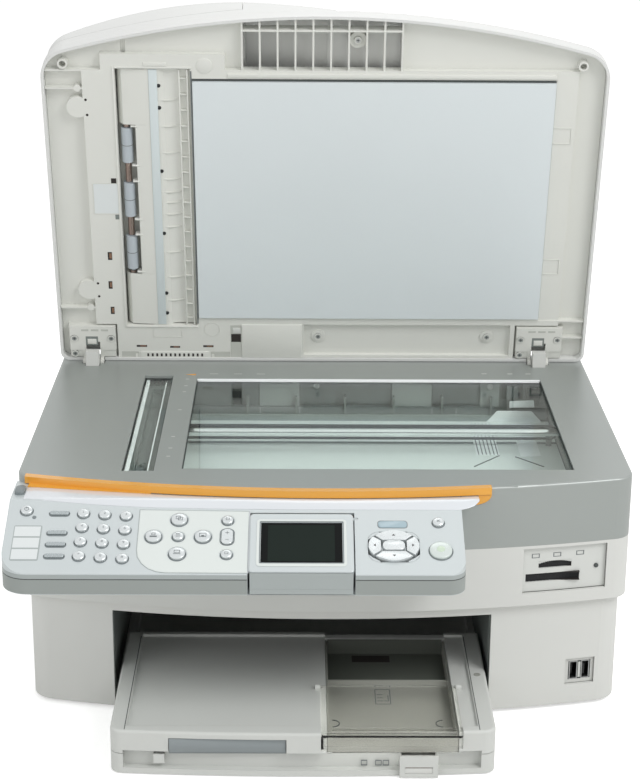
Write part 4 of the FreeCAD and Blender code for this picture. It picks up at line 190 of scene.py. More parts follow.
def metal(name, text, roughness, grain_mm, stretch):
    """Metal with the fine lines of its grinding or rolling along X."""
    material = empty_material(name)
    place = add_node(material, "ShaderNodeTexCoord")
    lines = add_node(material, "ShaderNodeMapping", [("Scale", (1 / stretch, 1.0, 1.0))],
        [("Vector", place.outputs["Object"])])
    grain = add_node(material, "ShaderNodeTexNoise", [("Scale", 1 / (grain_mm * MM)), ("Detail", 3.0)],
        [("Vector", lines.outputs["Vector"])])
    gloss = add_node(material, "ShaderNodeMapRange",
        [("To Min", roughness - 0.06), ("To Max", roughness + 0.1)], [("Value", grain.outputs["Fac"])])
    bump = add_node(material, "ShaderNodeBump", [("Strength", 0.1), ("Distance", 0.02 * MM)],
        [("Height", grain.outputs["Fac"])])
    shader = add_node(material, "ShaderNodeBsdfPrincipled", [("Base Color", linear(text)), ("Metallic", 1.0)],
        [("Roughness", gloss.outputs["Result"]), ("Normal", bump.outputs["Normal"])])
    add_node(material, "ShaderNodeOutputMaterial", links=[("Surface", shader.outputs["BSDF"])])
    material.diffuse_color = linear(text)
    return material


FINISHES = {}

# Spark texture, paint flakes and grinding lines are in truth finer than 0.1 mm, too fine to show, so their
# grain is drawn as coarse as the render needs. Plastics and paints: name, colour or its setting, roughness,
# grain in millimetres, relief, and what differs from the usual
PLASTICS = {
    # Spark-textured ABS: soft white, no clear reflection
    "white_abs": ("Moulded white ABS", "housing", 0.46, 0.6, 0.25),
    # The same white ABS painted lighter on the lid's outside: painted light on its shaded side
    "lid_shell_lit_abs": ("Moulded white ABS of the lid's outside", "#DFE0DE", 0.44, 0.6, 0.2),
    # The same white ABS painted darker on the trays: painted shade where they sit low under the housing
    "tray_abs": ("Moulded white ABS of the trays", "#CFD1CD", 0.46, 0.6, 0.25),
    # Painted shade: a dark grey laid over the photo tray's rear, where the housing shades it
    "tray_floor_shade": ("Grey floor of the photo tray", "#5B5F58", 0.5, 0.6, 0.1),
    "lid_abs": ("Moulded ABS inside the lid", "lid_inside", 0.5, 0.6, 0.2),
    # Metal-flake paint on ABS: satin sheen with a fine sparkle
    "deck_paint": ("Silver-grey painted ABS", "deck", 0.36, 0.35, 0.3, dict(metallic=0.35)),
    "panel_paint": ("Light silver painted ABS", "panel", 0.33, 0.35, 0.2, dict(metallic=0.25)),
    # Painted highlight: the panel's top bevel and the overlay's edge line in white lacquer, lighter than the
    # panel paint
    "highlight_lacquer": ("Gloss white lacquered ABS", "#DEE2E6", 0.2, 0.8, 0.05, dict(metallic=0.1, coat=0.6)),
    # Satin silver paint on ABS: a soft highlight along each cap
    "key_cap": ("Satin silver painted key caps", "#D6DBDC", 0.24, 0.8, 0.05, dict(metallic=0.45, edge_mm=0.3)),
    "silver_cap": ("Silver painted arrow caps", "#DFE4E5", 0.28, 0.6, 0.05, dict(metallic=0.35, edge_mm=0.3)),
    "bar_cap": ("Dark silver painted bars", "#AEB6B8", 0.26, 0.6, 0.05, dict(metallic=0.5, edge_mm=0.4)),
    "pearl_cap": ("Pearl painted start key", "#D2DBD7", 0.25, 0.8, 0.05, dict(metallic=0.25, coat=0.3)),
    # Gloss ABS and smooth film: even tone and a clear, narrow highlight
    "trim_gloss": ("Gloss moulded orange ABS", "trim", 0.24, 1.5, 0.04, dict(coat=0.5)),
    "sheet": ("Smooth white film on foam", "sheet", 0.3, 3.0, 0.05, dict(drift=0.015)),
    # Spark-textured ABS in greys and black: matt, with a fine grain
    "grey_abs": ("Moulded pale grey ABS", "#D3D5D1", 0.45, 0.6, 0.2),
    "dark_abs": ("Moulded black ABS", "#1D1F20", 0.5, 0.6, 0.25),
    "inner_grey": ("Moulded mid grey ABS", "#7E8582", 0.5, 0.6, 0.2),
    # Moulded grey ABS and paint round the panel, and a painted shadow for the gap above the skirt and other
    # gaps: matt, quiet edges
    "skirt": ("Moulded grey skirt", "#969C99", 0.42, 0.5, 0.2),
    # Painted shade: a darker copy of the panel paint on the panel's lower edge and the display's lower side
    "edge_shade_paint": ("Painted panel edge", "#A6ADAC", 0.36, 0.4, 0.15, dict(metallic=0.2)),
    "gap": ("Shadow gap", "#4B504F", 0.6, 0.5, 0.1, dict(edge_mm=0.1)),
    # Grey rims round the keys, widened on their lower side as painted shadow; the same grey paints shade on the
    # gloss bar's left end
    "rim": ("Moulded grey key rims", "#7D8587", 0.4, 0.4, 0.1, dict(edge_mm=0.1)),
    # Film, ink and paper: thin, matt and even
    "zone": ("Matt pale overlay film", "#DDE3E0", 0.42, 0.5, 0.1, dict(drift=0.015)),
    "zone_line": ("Printed border line", "#A9B1B0", 0.45, 0.5, 0.05, dict(edge_mm=0.1)),
    "paper": ("Paper name strips", "#DFE4E4", 0.6, 0.3, 0.1, dict(edge_mm=0.1)),
    # Tinted and milky lenses: smooth, with a small glint
    "lozenge": ("Tinted indicator lens", "#A3B9C2", 0.2, 2.0, 0.0, dict(coat=0.4)),
    "start_lens": ("Milky green lens", "#CCDCC8", 0.25, 2.0, 0.0, dict(coat=0.3)),
    # Unlit display behind its window: almost black, without a highlight
    "screen": ("Display matrix", "#1B2420", 0.5, 0.4, 0.0, dict(edge_mm=0.1, ior=1.2)),
    # Smooth bluish film, the lid's hollows in painted shade, and its pads and marks: dull next to the frame
    "blue_film": ("Smooth bluish film", "#D4DDDE", 0.3, 3.0, 0.05, dict(drift=0.01)),
    "lid_shade": ("Recessed moulded ABS", "#C2C4BD", 0.55, 0.6, 0.2),
    # Painted shade: the dark brown of the latch's slit
    "slit_shade": ("Brown contact pad", "#6B4A3B", 0.6, 0.4, 0.2, dict(edge_mm=0.1)),
    "marks": ("Printed grey ink", "#6D7375", 0.5, 0.5, 0.05, dict(edge_mm=0.1)),
    "dark_hole": ("Shadowed hole", "#2A2523", 0.7, 0.5, 0.1, dict(edge_mm=0.1)),
    "copper_slot": ("Brown felt pad", "#8A6A55", 0.8, 0.4, 0.4, dict(edge_mm=0.1)),
    # Rubber: dull and matt, hardly any highlight
    "rubber": ("Moulded black rubber", "#17181A", 0.72, 0.5, 0.4),
    "roller": ("Ground grey rubber", "#B8C0C6", 0.6, 0.3, 0.3),
    "dark_roller": ("Ground dark rubber", "#303234", 0.68, 0.3, 0.4),
    # Solder mask: green, with a slight sheen
    "board": ("Solder-masked circuit board", "#1E5A35", 0.4, 2.0, 0.1),
    "display": ("Display glass", "#070A0A", 0.3, 5.0, 0.0, dict(edge_mm=0.2, ior=1.2)),
    # Silver paint and pale grey ABS of the trays: a fine sheen on the handle, matt floors
    "handle_silver": ("Silver painted tray handle", "#8F9698", 0.32, 0.15, 0.0, dict(metallic=0.2)),
    "tray_grey": ("Moulded grey tray ABS", "#A5A69F", 0.45, 0.6, 0.2),
    # Moulded ABS of the scanner pan, matt, in tones of painted light and shade: pale on the floor where light
    # and the lid's reflection come through the glass, darker up the walls and darkest in the hollows
    "pan_floor": ("Pale moulded scanner floor", "#D9DFDC", 0.4, 1.0, 0.1, dict(drift=0.01)),
    "pan_pale": ("Pale moulded scanner wall", "#848B88", 0.5, 1.0, 0.1),
    "pan_mid": ("Grey moulded scanner wall", "#596060", 0.5, 1.0, 0.1),
    "pan_dark": ("Shaded scanner hollow", "#343A37", 0.6, 1.0, 0.1),
    "pan_wall": ("Moulded grey ABS of the scanner", "#656C69", 0.5, 0.6, 0.2),
    "foil": ("White flexible cable", "#F2F6F6", 0.35, 1.0, 0.05),
    # Painted highlight: bright white lines along the back edge of the glass and the edges of the strip glass
    "highlight_strip": ("Polished white reference strip", "#FAFCFC", 0.25, 2.0, 0.0, dict(drift=0.0, edge_mm=0.2)),
}
# Metals: name, colour, roughness, grain in millimetres, length of its lines
METALS = {
    # Sintered bronze: a warm, broken highlight
    "bronze": ("Sintered bronze sleeve", "#9C8A82", 0.35, 0.6, 4.0),
    # Zinc-plated and ground steel: a highlight streaked along the rolling or grinding
    "steel": ("Zinc-plated steel sheet", "#B7B9B8", 0.34, 1.2, 8.0),
    "rod_steel": ("Ground steel rod", "#F2F4F4", 0.14, 0.5, 20.0),
}
# Clear materials: name, colour or its setting, roughness, refraction
CLEARS = {
    # Float glass: a faint mirror of the white room over a clear view
    "glass": ("Float glass", "#F2F7F5", 0.0, 1.28),
    # Clear polycarbonate: a soft reflection, slightly dim behind it
    "clear_cover": ("Clear polycarbonate, faintly smoked", "smoked", 0.03, 1.45),
}


def make_finishes(colours):
    """All finishes, by the name of what they are."""
    for maker, table in ((plastic, PLASTICS), (metal, METALS), (see_through, CLEARS)):
        for key, (name, text, *values) in table.items():
            extras = values.pop() if isinstance(values[-1], dict) else {}
            FINISHES[key] = maker(name, getattr(colours, text, text), *values, **extras)


NODE_FINISH = {
    "white_abs": "base_pan lower_housing upper_housing hinge_legs",
    "lid_shell_lit_abs": "lid_shell feeder_cover",
    "tray_abs": "paper_tray output_tray length_guide",
    "lid_abs": "lid_frame feeder_guide hinge_brackets",
    "deck_paint": "scanner_deck",
    "panel_paint": "panel_housing lcd_housing",
    "trim_gloss": "front_trim",
    "sheet": "backing_sheet",
    "glass": "platen_glass document_strip_glass",
    "dark_abs": "print_carriage usb_ports",
    "inner_grey": "paper_guide_frame",
    "pan_wall": "scanner_pan scan_carriage",
    "grey_abs": "card_reader",
    "tray_grey": "photo_tray",
    "steel": "print_frame lid_screws",
    "rod_steel": "scan_rod carriage_rod",
    "rubber": "rubber_feet scan_belt",
    "roller": "feeder_rollers",
    "dark_roller": "feed_roller exit_roller",
    "board": "circuit_board",
    "display": "lcd_window",
    "clear_cover": "photo_cover",
    "handle_silver": "tray_extension",
    "bar_cap": "redial_bar speed_dial_bars",
    "pearl_cap": "start_button",
    "key_cap": (
        "number_keys_left number_keys_middle number_keys_right mode_button_left "
        "mode_button_top mode_button_right mode_button_bottom menu_button "
        "side_button_top side_button_bottom zoom_rocker"),
    "silver_cap": (
        "power_button cancel_button arrow_button_up arrow_button_down arrow_button_left "
        "arrow_button_right enter_button"),
}


# Mesh tools

def round_outline(left, right, low, high, radius, steps=5):
    """Points of a rectangle with round corners, anticlockwise."""
    points = []
    for x, y, start in ((right - radius, low + radius, -90), (right - radius, high - radius, 0),
            (left + radius, high - radius, 90), (left + radius, low + radius, 180)):
        for i in range(steps + 1):
            angle = math.radians(start + 90 * i / steps)
            points.append((x + radius * math.cos(angle), y + radius * math.sin(angle)))
    return points


def ring_outline(x, y, radius, count=28):
    """Points of a circle."""
    return [(x + radius * math.cos(2 * math.pi * i / count), y + radius * math.sin(2 * math.pi * i / count))
        for i in range(count)]


def plate(mesh, outline, low, high, edge=0.0):
    """Extruded outline, in millimetres, with its upper edge softened."""
    bottom = [mesh.verts.new((x * MM, y * MM, low * MM)) for x, y in outline]
    top = [mesh.verts.new((x * MM, y * MM, high * MM)) for x, y in outline]
    mesh.faces.new(list(reversed(bottom)))
    crown = mesh.faces.new(top)
    for i in range(len(outline)):
        j = (i + 1) % len(outline)
        mesh.faces.new((bottom[i], bottom[j], top[j], top[i]))
    if edge:
        bmesh.ops.bevel(mesh, geom=list(crown.edges), offset=edge * MM, segments=2, affect="EDGES", profile=0.5)


def block(mesh, left, right, near, far, low, high, edge=0.0):
    """Rectangular block between two values on each axis, in millimetres."""
    plate(mesh, [(left, near), (right, near), (right, far), (left, far)], low, high, edge)


def hollow_ring(mesh, x, y, outer, inner, low, high, count=28, shift=0.0):
    """Tube standing on a face; a shift makes its front side wider, which paints a shadow below a key."""
    loops = []
    for radius, level, move in ((outer, low, shift), (outer, high, shift), (inner, high, 0.0),
            (inner, low, 0.0)):
        loops.append([mesh.verts.new((px * MM, (py - move) * MM, level * MM))
            for px, py in ring_outline(x, y, radius, count)])
    for k in range(4):
        first, second = loops[k], loops[(k + 1) % 4]
        for i in range(count):
            j = (i + 1) % count
            mesh.faces.new((first[i], first[j], second[j], second[i]))


def pierced_plate(mesh, outline, holes, low, high):
    """Thin plate with holes, in millimetres."""
    loops = [outline] + holes
    flat = [[Vector((x, y, 0.0)) for x, y in loop] for loop in loops]
    levels = []
    for level in (low, high):
        levels.append([mesh.verts.new((x * MM, y * MM, level * MM)) for loop in loops for x, y in loop])
    for a, b, c in tessellate_polygon(flat):
        mesh.faces.new((levels[0][a], levels[0][b], levels[0][c]))
        mesh.faces.new((levels[1][c], levels[1][b], levels[1][a]))
    start = 0
    for loop in loops:
        for i in range(len(loop)):
            a, b = start + i, start + (i + 1) % len(loop)
            mesh.faces.new((levels[0][a], levels[0][b], levels[1][b], levels[1][a]))
        start += len(loop)


def skin(mesh, upper, lower):
    """Closed piece between two grids of points with the same rows and columns, in millimetres."""
    sheets = [[[mesh.verts.new([value * MM for value in point]) for point in row] for row in grid]
        for grid in (upper, lower)]
    rows, columns = len(upper), len(upper[0])
    for sheet, turn in zip(sheets, (1, -1)):
        for i in range(rows - 1):
            for j in range(columns - 1):
                corners = (sheet[i][j], sheet[i + 1][j], sheet[i + 1][j + 1], sheet[i][j + 1])
                mesh.faces.new(corners[::turn])
    border = [(i, 0) for i in range(rows)] + [(rows - 1, j) for j in range(1, columns)]
    border += [(i, columns - 1) for i in range(rows - 2, -1, -1)] + [(0, j) for j in range(columns - 2, 0, -1)]
    for k, (i, j) in enumerate(border):
        m, n = border[(k + 1) % len(border)]
        mesh.faces.new((sheets[0][i][j], sheets[0][m][n], sheets[1][m][n], sheets[1][i][j]))


def ribbon(mesh, path, inner, low, high):
    """Thin upright wall between two paths with the same number of points."""
    skin(mesh, [[(x, y, low) for x, y in path], [(x, y, high) for x, y in path]],
        [[(x, y, low) for x, y in inner], [(x, y, high) for x, y in inner]])


def grown(outline, amount):
    """Outline moved outwards from its middle on each axis."""
    xs, ys = [x for x, y in outline], [y for x, y in outline]
    x_middle, y_middle = (min(xs) + max(xs)) / 2, (min(ys) + max(ys)) / 2
    x_scale = 1 + amount / ((max(xs) - min(xs)) / 2)
    y_scale = 1 + amount / ((max(ys) - min(ys)) / 2)
    return [(x_middle + (x - x_middle) * x_scale, y_middle + (y - y_middle) * y_scale) for x, y in outline]


def link_piece(name, data, material, body):
    """Object of a finished mesh that rides on a body."""
    data.materials.clear()
    data.materials.append(FINISHES[material])
    piece = bpy.data.objects.new(name, data)
    bpy.context.scene.collection.objects.link(piece)
    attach(piece, body)


def make_piece(name, material, shapes, matrix=ROW, body="base", edge=0.0):
    """One piece of several shapes: a block as six numbers, or a mesh function and what it takes."""
    mesh = bmesh.new()
    for shape in shapes:
        if callable(shape[0]):
            shape[0](mesh, *shape[1:])
        else:
            block(mesh, *shape, edge)
    bmesh.ops.recalc_face_normals(mesh, faces=mesh.faces)
    data = bpy.data.meshes.new(name)
    mesh.to_mesh(data)
    mesh.free()
    data.transform(matrix)
    for polygon in data.polygons:
        polygon.use_smooth = True
    data.set_sharp_from_angle(angle=SHARP_ANGLE)
    link_piece(name, data, material, body)


# Level of the lid's inner frame, in the lid's own frame
FACE = -2.1


def on_panel(name, material, shapes, body="base"):
    """Piece in the sloping frame of the control panel."""
    make_piece(name, material, shapes, PANEL, body)


def on_lid(name, shapes, material="lid_abs", edge=0.0):
    """Piece in the lid's own frame: x and distance from the hinge line."""
    make_piece(name, material, shapes, LID, "lid", edge=edge)


def layer(low, high, *spans):
    """Blocks between the same two levels, each given by its spans along x and y."""
    return [tuple(span) + (low, high) for span in spans]


def raised(rise, *spans):
    """Blocks that stand on the lid's inner frame."""
    return layer(FACE, FACE + rise, *spans)


def frame_of(x, y, width, height, line, low, high):
    """Four blocks that draw a rectangle's edges."""
    left, right, near, far = x - width / 2, x + width / 2, y - height / 2, y + height / 2
    return layer(low, high, (left, left + line, near, far), (right - line, right, near, far),
        (left + line, right - line, near, near + line), (left + line, right - line, far - line, far))


def write_mark(name, text, x, y, size, node):
    """Plain numeral or sign, raised by a hair's breadth from a key's top."""
    font = bpy.data.curves.new(name + "_font", "FONT")
    font.body = text
    font.size = size
    font.align_x = "CENTER"
    font.align_y = "CENTER"
    font.extrude = 0.04 * MM
    holder = bpy.data.objects.new(name + "_font", font)
    bpy.context.scene.collection.objects.link(holder)
    bpy.context.view_layer.update()
    data = bpy.data.meshes.new_from_object(holder)
    bpy.data.objects.remove(holder)
    data.name = name
    data.transform(PANEL @ Matrix.Translation((x * MM, y * MM, (CAP_HEIGHT - 0.02) * MM)))
    link_piece(name, data, "marks", node)


# Operators

class PRINTER_OT_finishes(bpy.types.Operator):
    """Give every carried-over piece its finish"""

    bl_idname = "printer.finishes"
    bl_label = "Finishes"

    def execute(self, context):
        make_finishes(context.scene.printer_finish)
        left = set(frame["nodes"])
        for name, nodes in NODE_FINISH.items():
            for node in nodes.split():
                data = frame["nodes"][node].data
                data.materials.clear()
                data.materials.append(FINISHES[name])
                left.discard(node)
        if left:
            raise RuntimeError("no finish for " + ", ".join(sorted(left)))
        return {"FINISHED"}


# Round keys of the control panel: node, x, distance down the slope, radius
ROUND_KEYS = [("power_button", -217.8, 11.9, 4.3), ("mode_button_left", -124.5, 37.1, 5.8),
    ("mode_button_top", -106.8, 20.5, 5.8), ("mode_button_right", -89.1, 37.1, 5.8),
    ("mode_button_bottom", -106.8, 53.7, 5.8), ("menu_button", -106.8, 37.1, 4),
    ("side_button_top", -71.7, 21.2, 4), ("side_button_bottom", -71.7, 54.3, 4),
    ("cancel_button", 80.5, 22.5, 4.2), ("start_button", 81, 49.9, 8.2)]
NUMBER_KEYS = [("number_keys_" + side, -176.4 + 15.5 * column, 14.7 + 13.8 * row + 1.1 * column, 4.2)
    for column, side in enumerate(("left", "middle", "right")) for row in range(4)]
NUMERALS = "147*2580369#"
# Height of the key caps above the panel
CAP_HEIGHT = 2.3
# Redial bar and speed-dial bars: x, distance down the slope
BARS = [(-193.9, 14.3), (-193.9, 33.5), (-193.9, 44.7), (-193.9, 55.9)]
# Outline of the film round the mode buttons
ZONE = [(-56.6, -11.9), (-135.6, -10.6), (-135.6, -50), (-134.6, -56.5), (-131.4, -62.6), (-126.5, -67.4),
    (-120.5, -70.2), (-114, -71.2), (-56.6, -71.4)]
# Middle of the arrow keys
PAD = (47.6, -46.1)
# Radius and foremost Y of the deck's bowed front
BOW_RADIUS = 900
BOW_FRONT = -167


def bow(x):
    """Line of the deck's bowed front."""
    return BOW_FRONT + BOW_RADIUS - math.sqrt(BOW_RADIUS * BOW_RADIUS - x * x)


def arc(x, y, radius, start, end, steps=8):
    """Points along an arc, angles in degrees."""
    turns = [math.radians(start + (end - start) * i / steps) for i in range(steps + 1)]
    return [(x + radius * math.cos(turn), y + radius * math.sin(turn)) for turn in turns]


def at_table(rows, value):
    """Value read between the rows of a table of pairs."""
    for (a, b), (c, d) in zip(rows, rows[1:]):
        if a <= value <= c:
            return b + (d - b) * (value - a) / (c - a)
    return rows[-1][1]


class PRINTER_OT_key_fields(bpy.types.Operator):
    """Overlay, key rims with painted shadow below the keys, name strips and lenses on the control panel"""

    bl_idname = "printer.key_fields"
    bl_label = "Key fields"

    def execute(self, context):
        # Rims widened on the lower side of each key and bar: painted shadow below the caps
        rims = [(hollow_ring, x, -down, radius + 0.75, radius + 0.3, 0, 0.18, 28, 0.4)
            for node, x, down, radius in ROUND_KEYS + NUMBER_KEYS]
        rims += [(pierced_plate, round_outline(x - 7.7, x + 7.7, -down - 3.2, -down + 2.3, 2.6),
            [round_outline(x - 7.3, x + 7.3, -down - 2.1, -down + 2.1, 2.05)], 0, 0.16) for x, down in BARS]
        on_panel("key_rims", "rim", rims)
        rocker = round_outline(-71.7 - 4.9, -71.7 + 4.9, -37.1 - 8, -37.1 + 8, 4.4)
        holes = [ring_outline(x, -down, radius + 1.25) for node, x, down, radius in ROUND_KEYS
            if node[:4] in ("mode", "menu", "side")]
        on_panel("key_overlay", "zone", [(pierced_plate, ZONE, holes + [grown(rocker, 0.5)], 0, 0.16)])
        on_panel("overlay_border", "zone_line",
            [(pierced_plate, grown(ZONE, 0.55), [grown(ZONE, 0.1)], 0, 0.1)])
        on_panel("overlay_edge", "highlight_lacquer", [(-56.3, -55.6, -71.6, -11.2, 0, 0.3)])
        # Dark ring round the zoom rocker: painted shadow in the gap around it
        on_panel("zoom_rim", "rim", [(pierced_plate, grown(rocker, 0.42), [grown(rocker, -0.05)], 0, 0.18)])
        on_panel("name_strip_frame", "zone_line",
            [(plate, round_outline(-225.2, -205, -60.2, -26.3, 1.2), 0, 0.12)])
        strips = [(-224.6, -205.9, -27.4 - 11 * i - 9.6, -27.4 - 11 * i, 0.1, 0.24) for i in range(3)]
        on_panel("name_strips", "paper", strips)
        lens = round_outline(36.9, 57.7, -27.5, -21, 2.2)
        on_panel("indicator_rim", "rim", [(plate, grown(lens, 0.5), 0, 0.1)])
        on_panel("indicator_lens", "lozenge", [(plate, lens, 0.1, 0.3, 0.1)])
        on_panel("power_lamp", "rim", [(plate, ring_outline(-211.8, -18.2, 1.5), 0, 0.5, 0.3)])
        return {"FINISHED"}


def dome(mesh, x, y, radius, height, count=32):
    """Domed cap with a short straight side."""
    rings = []
    for share, level in ((1, 0.05), (1, 0.5), (0.96, 0.72), (0.86, 0.85), (0.68, 0.94), (0.4, 0.985),
            (0.15, 1)):
        rings.append([mesh.verts.new((px * MM, py * MM, level * height * MM))
            for px, py in ring_outline(x, y, radius * share, count)])
    for low, high in zip(rings, rings[1:]):
        for i in range(count):
            j = (i + 1) % count
            mesh.faces.new((low[i], low[j], high[j], high[i]))
    mesh.faces.new(rings[-1])
    mesh.faces.new(rings[0][::-1])


class PRINTER_OT_key_caps(bpy.types.Operator):
    """Domed caps over the round keys"""

    bl_idname = "printer.key_caps"
    bl_label = "Key caps"

    def execute(self, context):
        keys = ROUND_KEYS + NUMBER_KEYS
        for node in sorted({key[0] for key in keys}):
            caps = [(dome, x, -down, radius, CAP_HEIGHT) for name, x, down, radius in keys if name == node]
            on_panel(node + "_caps", "pearl_cap" if node == "start_button" else "key_cap", caps, node)
        return {"FINISHED"}


class PRINTER_OT_key_marks(bpy.types.Operator):
    """Numbers and plain signs on the keys"""

    bl_idname = "printer.key_marks"
    bl_label = "Key marks"

    def execute(self, context):
        size = context.scene.printer_sizes.numeral
        for text, (node, x, down, radius) in zip(NUMERALS, NUMBER_KEYS):
            write_mark("numeral_" + {"*": "star", "#": "hash"}.get(text, text), text, x, -down, size, node)
        self.white_key_signs()
        self.silver_key_signs()
        self.arrow_tops()
        arrows = {"up": ((0, 10.7), (1.3, 9.2), (-1.3, 9.2)), "down": ((0, -10.7), (-1.3, -9.2), (1.3, -9.2)),
            "left": ((-14.6, 0), (-13, 1.3), (-13, -1.3)), "right": ((14.6, 0), (13, -1.3), (13, 1.3))}
        for side, points in arrows.items():
            on_panel("arrow_sign_" + side, "dark_hole", [(plate, self.at_pad(points)[::-1], 1.9, 2.08)],
                "arrow_button_" + side)
        return {"FINISHED"}

    def white_key_signs(self):
        """Signs of the mode, menu, zoom and side buttons."""
        span = (CAP_HEIGHT - 0.5, CAP_HEIGHT + 0.06)

        def mark(name, node, *blocks):
            on_panel(name, "marks", sum(blocks, []), node)

        mark("sheets_sign", "mode_button_top", frame_of(-107.5, -20, 3.4, 3, 0.4, *span),
            frame_of(-105.9, -21.1, 3.4, 3, 0.4, *span))
        mark("scan_sign", "mode_button_bottom", frame_of(-106.8, -53, 4.4, 2.6, 0.4, *span),
            layer(*span, (-109.4, -104.2, -55.5, -55)))
        mark("send_sign", "mode_button_left", frame_of(-124.5, -36.2, 2.8, 2.2, 0.4, *span),
            layer(*span, (-127.1, -121.9, -39.2, -37.9)))
        mark("picture_sign", "mode_button_right", frame_of(-89.1, -37.1, 5, 3.8, 0.4, *span),
            layer(*span, (-90.2, -88, -38.6, -37.2)))
        mark("menu_sign", "menu_button", layer(*span, *[(-108.4, -105.2, -37.1 + y - 0.2, -37.1 + y + 0.2)
            for y in (-1.2, 0, 1.2)]))
        mark("zoom_sign", "zoom_rocker", layer(1.1, 1.26, (-73, -70.4, -33.9, -33.5),
            (-71.9, -71.5, -35, -33.9), (-71.9, -71.5, -33.5, -32.4), (-73, -70.4, -40.7, -40.3)))
        for node, down in (("side_button_top", 21.2), ("side_button_bottom", 54.3)):
            mark(node + "_sign", node, frame_of(-71.7, -down, 2.6, 2.2, 0.35, *span))

    def silver_key_signs(self):
        """Signs of the power and cancel buttons and the start button's lens."""
        low, top = CAP_HEIGHT - 0.5, CAP_HEIGHT + 0.06
        on_panel("power_sign", "marks", [(hollow_ring, -217.8, -11.9, 1.7, 1.3, low, top),
            (-218, -217.6, -11.7, -9.8, low, top + 0.04)], "power_button")
        bars = []
        for turn in (45, -45):
            ends = [Matrix.Rotation(math.radians(turn), 2) @ Vector(corner)
                for corner in ((-1.5, -0.22), (1.5, -0.22), (1.5, 0.22), (-1.5, 0.22))]
            bars.append((plate, [(80.5 + end.x, -22.5 + end.y) for end in ends], low, top + turn * 0.0005))
        on_panel("cancel_sign", "marks", bars, "cancel_button")
        on_panel("start_lens", "start_lens",
            [(plate, ring_outline(81, -49.9, 3), CAP_HEIGHT - 0.3, top, 0.15)], "start_button")

    def at_pad(self, points):
        """Points moved to the middle of the arrow keys."""
        return [(PAD[0] + x, PAD[1] + y) for x, y in points]

    def arrow_tops(self):
        """Softened tops of the arrow keys and the enter key, and the fillets in the corners of their well."""
        swell = [(i, math.sin(math.pi * i / 10)) for i in range(1, 10)]
        up = [(-8.2, 5.3), (8.2, 5.3), (13.5, 9.9)] + [(13.5 - 2.7 * i, 9.9 + 4.7 * rise)
            for i, rise in swell] + [(-13.5, 9.9)]
        right = [(9.1, 4.6), (9.1, -4.6), (14.9, -8.9)] + [(14.9 + 3.4 * rise, -8.9 + 1.78 * i)
            for i, rise in swell] + [(14.9, 8.9)]
        for side, points in (("up", up), ("down", [(-x, -y) for x, y in up]), ("right", right),
                ("left", [(-x, -y) for x, y in right])):
            on_panel("arrow_top_" + side, "silver_cap", [(plate, self.at_pad(points), 0.9, 2, 0.6)],
                "arrow_button_" + side)
        enter = self.at_pad(round_outline(-7.9, 7.9, -4.4, 4.4, 3.4))
        on_panel("enter_top", "silver_cap", [(plate, enter, 0.9, 2.2, 0.7)], "enter_button")
        corner = [(13.9, 10.9), (11.8, 12.4), (9.9, 13.6)] + arc(9.75, 6.05, 8.55, 88, 8) + [(17.9, 7.4),
            (15.7, 9.6)]
        fillets = [(plate, self.at_pad([(x * sx, y * sy) for x, y in corner]), -1.6, 0)
            for sx, sy in ((1, 1), (-1, 1), (-1, -1), (1, -1))]
        on_panel("arrow_well_corners", "panel_paint", fillets)


